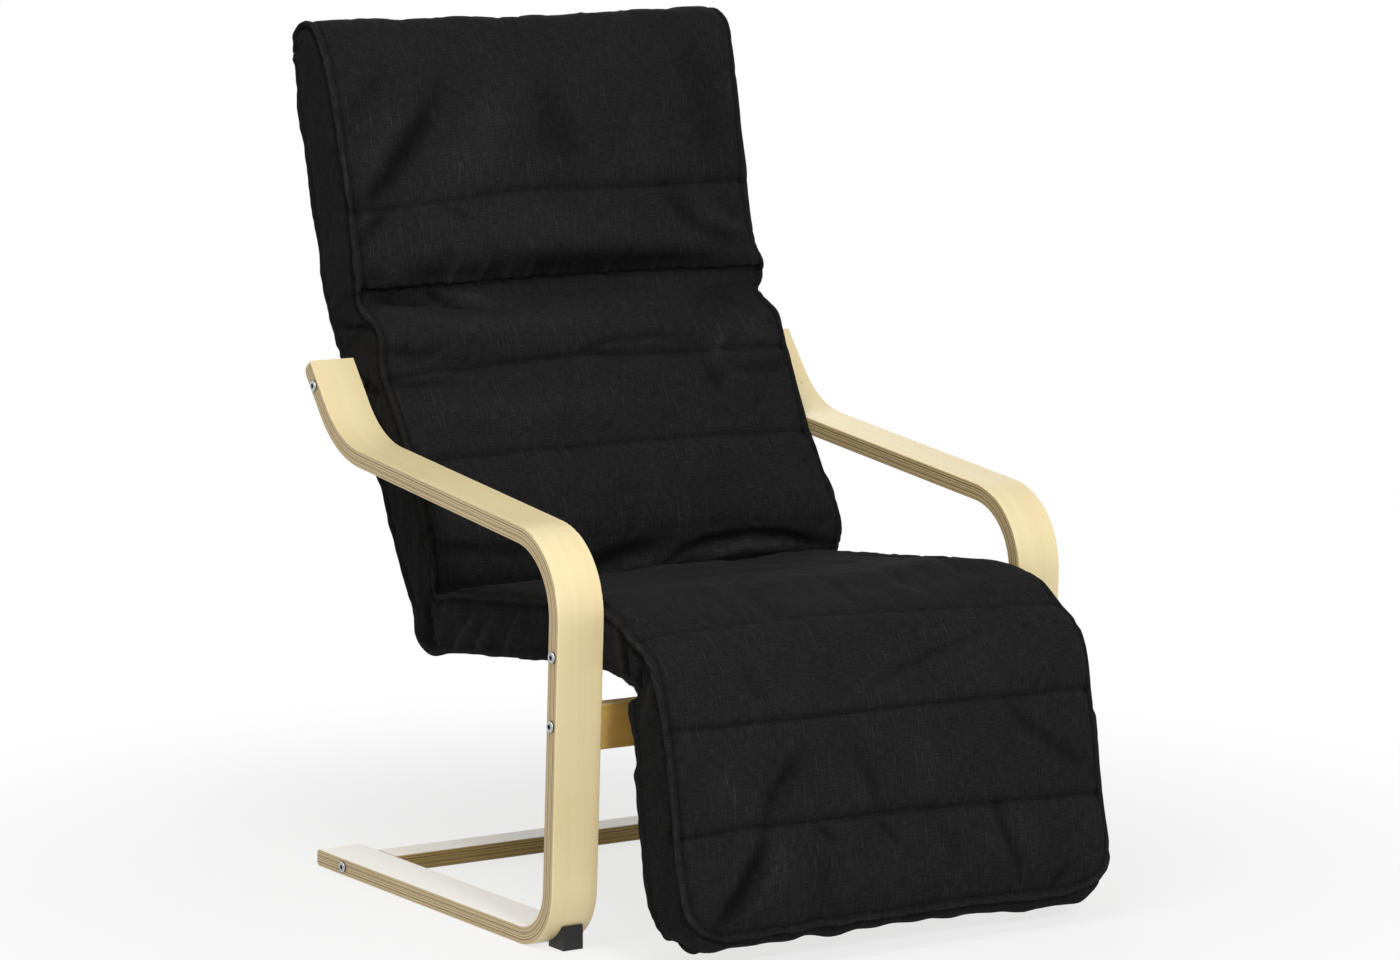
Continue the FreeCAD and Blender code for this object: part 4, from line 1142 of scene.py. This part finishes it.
def board(name, start, out, **looks):
    """Plywood of a straight board across the chair; its outer face goes through this place and looks out."""
    def edges(n):
        return n.ramp(normal_share(n, (0, *out)), 0.78, 0.62)
    return plywood(name, below(start, out), FINE_ACROSS, edges, **looks)


def slat(name, lane):
    return board(name, lane.at(0, 19 * MM), lane.out)


# Painted highlight: a near-white veneer for upper faces by the floor, standing in for the bright light there.
PAINTED_HIGHLIGHT_PALE = colour(252, 248, 240)
# Painted shade: a darker olive face for the front crossrail, standing in for the shade it sits in.
OLIVE_PAINTED_SHADE = (colour(206, 170, 92), colour(176, 140, 66))
# Painted highlight: the rear crossrail's upper face in the near-white veneer.
REAR_FACE_PAINTED_HIGHLIGHT = (PAINTED_HIGHLIGHT_PALE, colour(236, 226, 206))
# Painted shade: darker plies for the rear crossrail's front edge, where shade falls under the chair.
REAR_PLIES_PAINTED_SHADE = (colour(206, 180, 112), colour(180, 150, 84), colour(116, 86, 44))
PLASTIC = (colour(14, 14, 15), colour(22, 22, 23))
ELASTIC = (colour(24, 24, 26), colour(50, 50, 52))
METAL = {"scales": (420,) * 3, "detail": 3, "shown": (0.3, 0.8), "height": 0.05 * MM, "strength": 0.3,
         "Metallic": 1.0}
bolt_steel = grained("screw_metal", tones=((0.6, 0.6, 0.61, 1), (0.48, 0.48, 0.488, 1)), Roughness=0.3,
                     **METAL)
linen = fabric()

# Materials with the starts of the names of their pieces; the first that fits counts
FINISHES = [
    (bolt_steel, "leg_slat_screws leg_hinge_screws hinge_screws slat_screws foot_screws barrel_nuts "
                 "spacer_sleeves"),
    (grained("zinc_plate", tones=((0.62, 0.62, 0.6, 1), (0.496, 0.496, 0.48, 1)), Roughness=0.36, **METAL),
     "hinge_"),
    # the frame bolts get a near-black painted shade in their sockets
    (grained("bolt_metal", tones=((0.5, 0.51, 0.53, 1), (0.38, 0.39, 0.41, 1)), Roughness=0.3,
             socket=(0.03, 0.03, 0.032, 1), **METAL), "frame_bolts"),
    # the side strips take the near-white inner colour as painted highlight on the base's upper face
    (plywood("birch_strip", strip_depth, FINE_ALONG, strip_edges, inner=PAINTED_HIGHLIGHT_PALE), "side_frame_"),
    (rail("birch_back_rail", lower_lane), "back_rail_"),
    (rail("birch_leg_rail", leg_lane), "leg_rail_"),
    # the front crossrail's face is birch in painted shade
    (board("birch_front_rail", (POST_FOOT, 0), (-1, 0), face=OLIVE_PAINTED_SHADE), "front_crossrail"),
    # the rear crossrail: near-white face as painted highlight on its upper face, darker plies as painted
    # shade on its front edge
    (board("birch_rear_rail", (0, STRIP_THICK), (0, 1), face=REAR_FACE_PAINTED_HIGHLIGHT, edge=REAR_PLIES_PAINTED_SHADE),
     "rear_crossrail"),
    (slat("birch_seat_slat", seat_lane), "seat_slat_"),
    (slat("birch_lower_slat", lower_lane), "back_slat_1 back_slat_2 back_slat_3"),
    (slat("birch_upper_slat", upper_lane), "back_slat_"),
    (slat("birch_leg_slat", leg_lane), "leg_slat_"),
    (grained("black_plastic", (900,) * 3, 2, (0.3, 0.7), PLASTIC, 0.08 * MM, 0.4, Roughness=0.55),
     "front_foot_"),
    (grained("black_elastic", (60, 900, 900), 1, (0.35, 0.7), ELASTIC, 0.3 * MM, 0.6, Roughness=0.85,
             Sheen_Weight=0.1), "back_strap seat_strap leg_strap"),
    (linen, "cushion head_pocket foot_pocket seat_side back_side leg_side"),
]


def dress():
    """Gives every piece its material."""
    for piece in list(bpy.data.objects):
        if piece.type != "MESH":
            continue
        chosen = [finish for finish, starts in FINISHES if piece.name.startswith(tuple(starts.split()))]
        if not chosen:
            print("no material for", piece.name)
            continue
        if not piece.material_slots:
            piece.data.materials.append(chosen[0])
        for slot in piece.material_slots:
            slot.material = chosen[0]


dress()

# Camera at the photograph's viewing angle
CAMERA_PLACE = (-2.87328, -4.49812, 1.19796)
CAMERA_YAW = 32.71
CAMERA_DOWN = 7.796
CAMERA_LENS = 120.2


def add_to_scene(data, place, towards):
    """A camera or a lamp at this place, turned this way."""
    piece = bpy.data.objects.new(data.name, data)
    scene.collection.objects.link(piece)
    piece.location = place
    piece.rotation_mode = "QUATERNION"
    piece.rotation_quaternion = towards.to_track_quat("-Z", "Y")
    return piece


def make_camera():
    data = bpy.data.cameras.new("camera")
    data.sensor_width = 36
    data.lens = CAMERA_LENS
    data.clip_end = 50
    yaw, down = math.radians(CAMERA_YAW), math.radians(CAMERA_DOWN)
    forward = Vector((math.sin(yaw) * math.cos(down), math.cos(yaw) * math.cos(down), -math.sin(down)))
    scene.camera = add_to_scene(data, CAMERA_PLACE, forward)


def area_light(name, place, target, size, power):
    data = bpy.data.lights.new(name, "AREA")
    data.shape = "RECTANGLE"
    data.size, data.size_y = size
    data.energy = power
    add_to_scene(data, place, Vector(target) - Vector(place))


def seen_directly(n):
    """One for rays from the camera, or mirrored or bent by metal or glass."""
    rays = n.add("ShaderNodeLightPath").outputs
    return n.math("MAXIMUM", n.math("MAXIMUM", rays["Is Camera Ray"], rays["Is Glossy Ray"]),
                  rays["Is Transmission Ray"])


def make_world(strength):
    n = Nodes("studio", bpy.data.worlds)
    scene.world = n.owner
    soft, white = n.tree.nodes["Background"], n.add("ShaderNodeBackground")
    for node, amount in ((soft, strength), (white, 1)):
        n.join((1, 1, 1, 1), node.inputs["Color"])
        n.join(amount, node.inputs["Strength"])
    n.show_both(seen_directly(n), soft.outputs[0], white.outputs[0], "World Output")


def make_floor():
    """A pale floor that reads as white and keeps a soft shadow."""
    floor = new_mesh("floor", [(-30, -30, 0), (30, -30, 0), (30, 30, 0), (-30, 30, 0)], [(0, 1, 2, 3)])
    n = Nodes("pale_floor")
    n.set(Base_Color=(0.8, 0.8, 0.8, 1), Roughness=0.9)
    glow = n.add("ShaderNodeEmission")
    n.join(1, glow.inputs["Strength"])
    fade = n.ramp(n.vector("LENGTH", n.place()), 0.45, 1.3, least=0.72)
    n.show_both(n.times(seen_directly(n), fade), n.shader.outputs[0], glow.outputs[0], "Material Output")
    floor.data.materials.append(n.owner)


make_camera()
area_light("overhead", (-1.2, -0.8, 2.8), (0, 0, 0.4), (1.4, 1.4), 30)
area_light("front", (-0.6, -3.8, 2.3), (0, 0, 0.5), (1, 1), 90)
area_light("rear", (1.6, 3, 2.4), (0, 0, 0.5), (1.4, 1.4), 18)
make_world(0.3)
make_floor()
scene.view_settings.view_transform = "Standard"
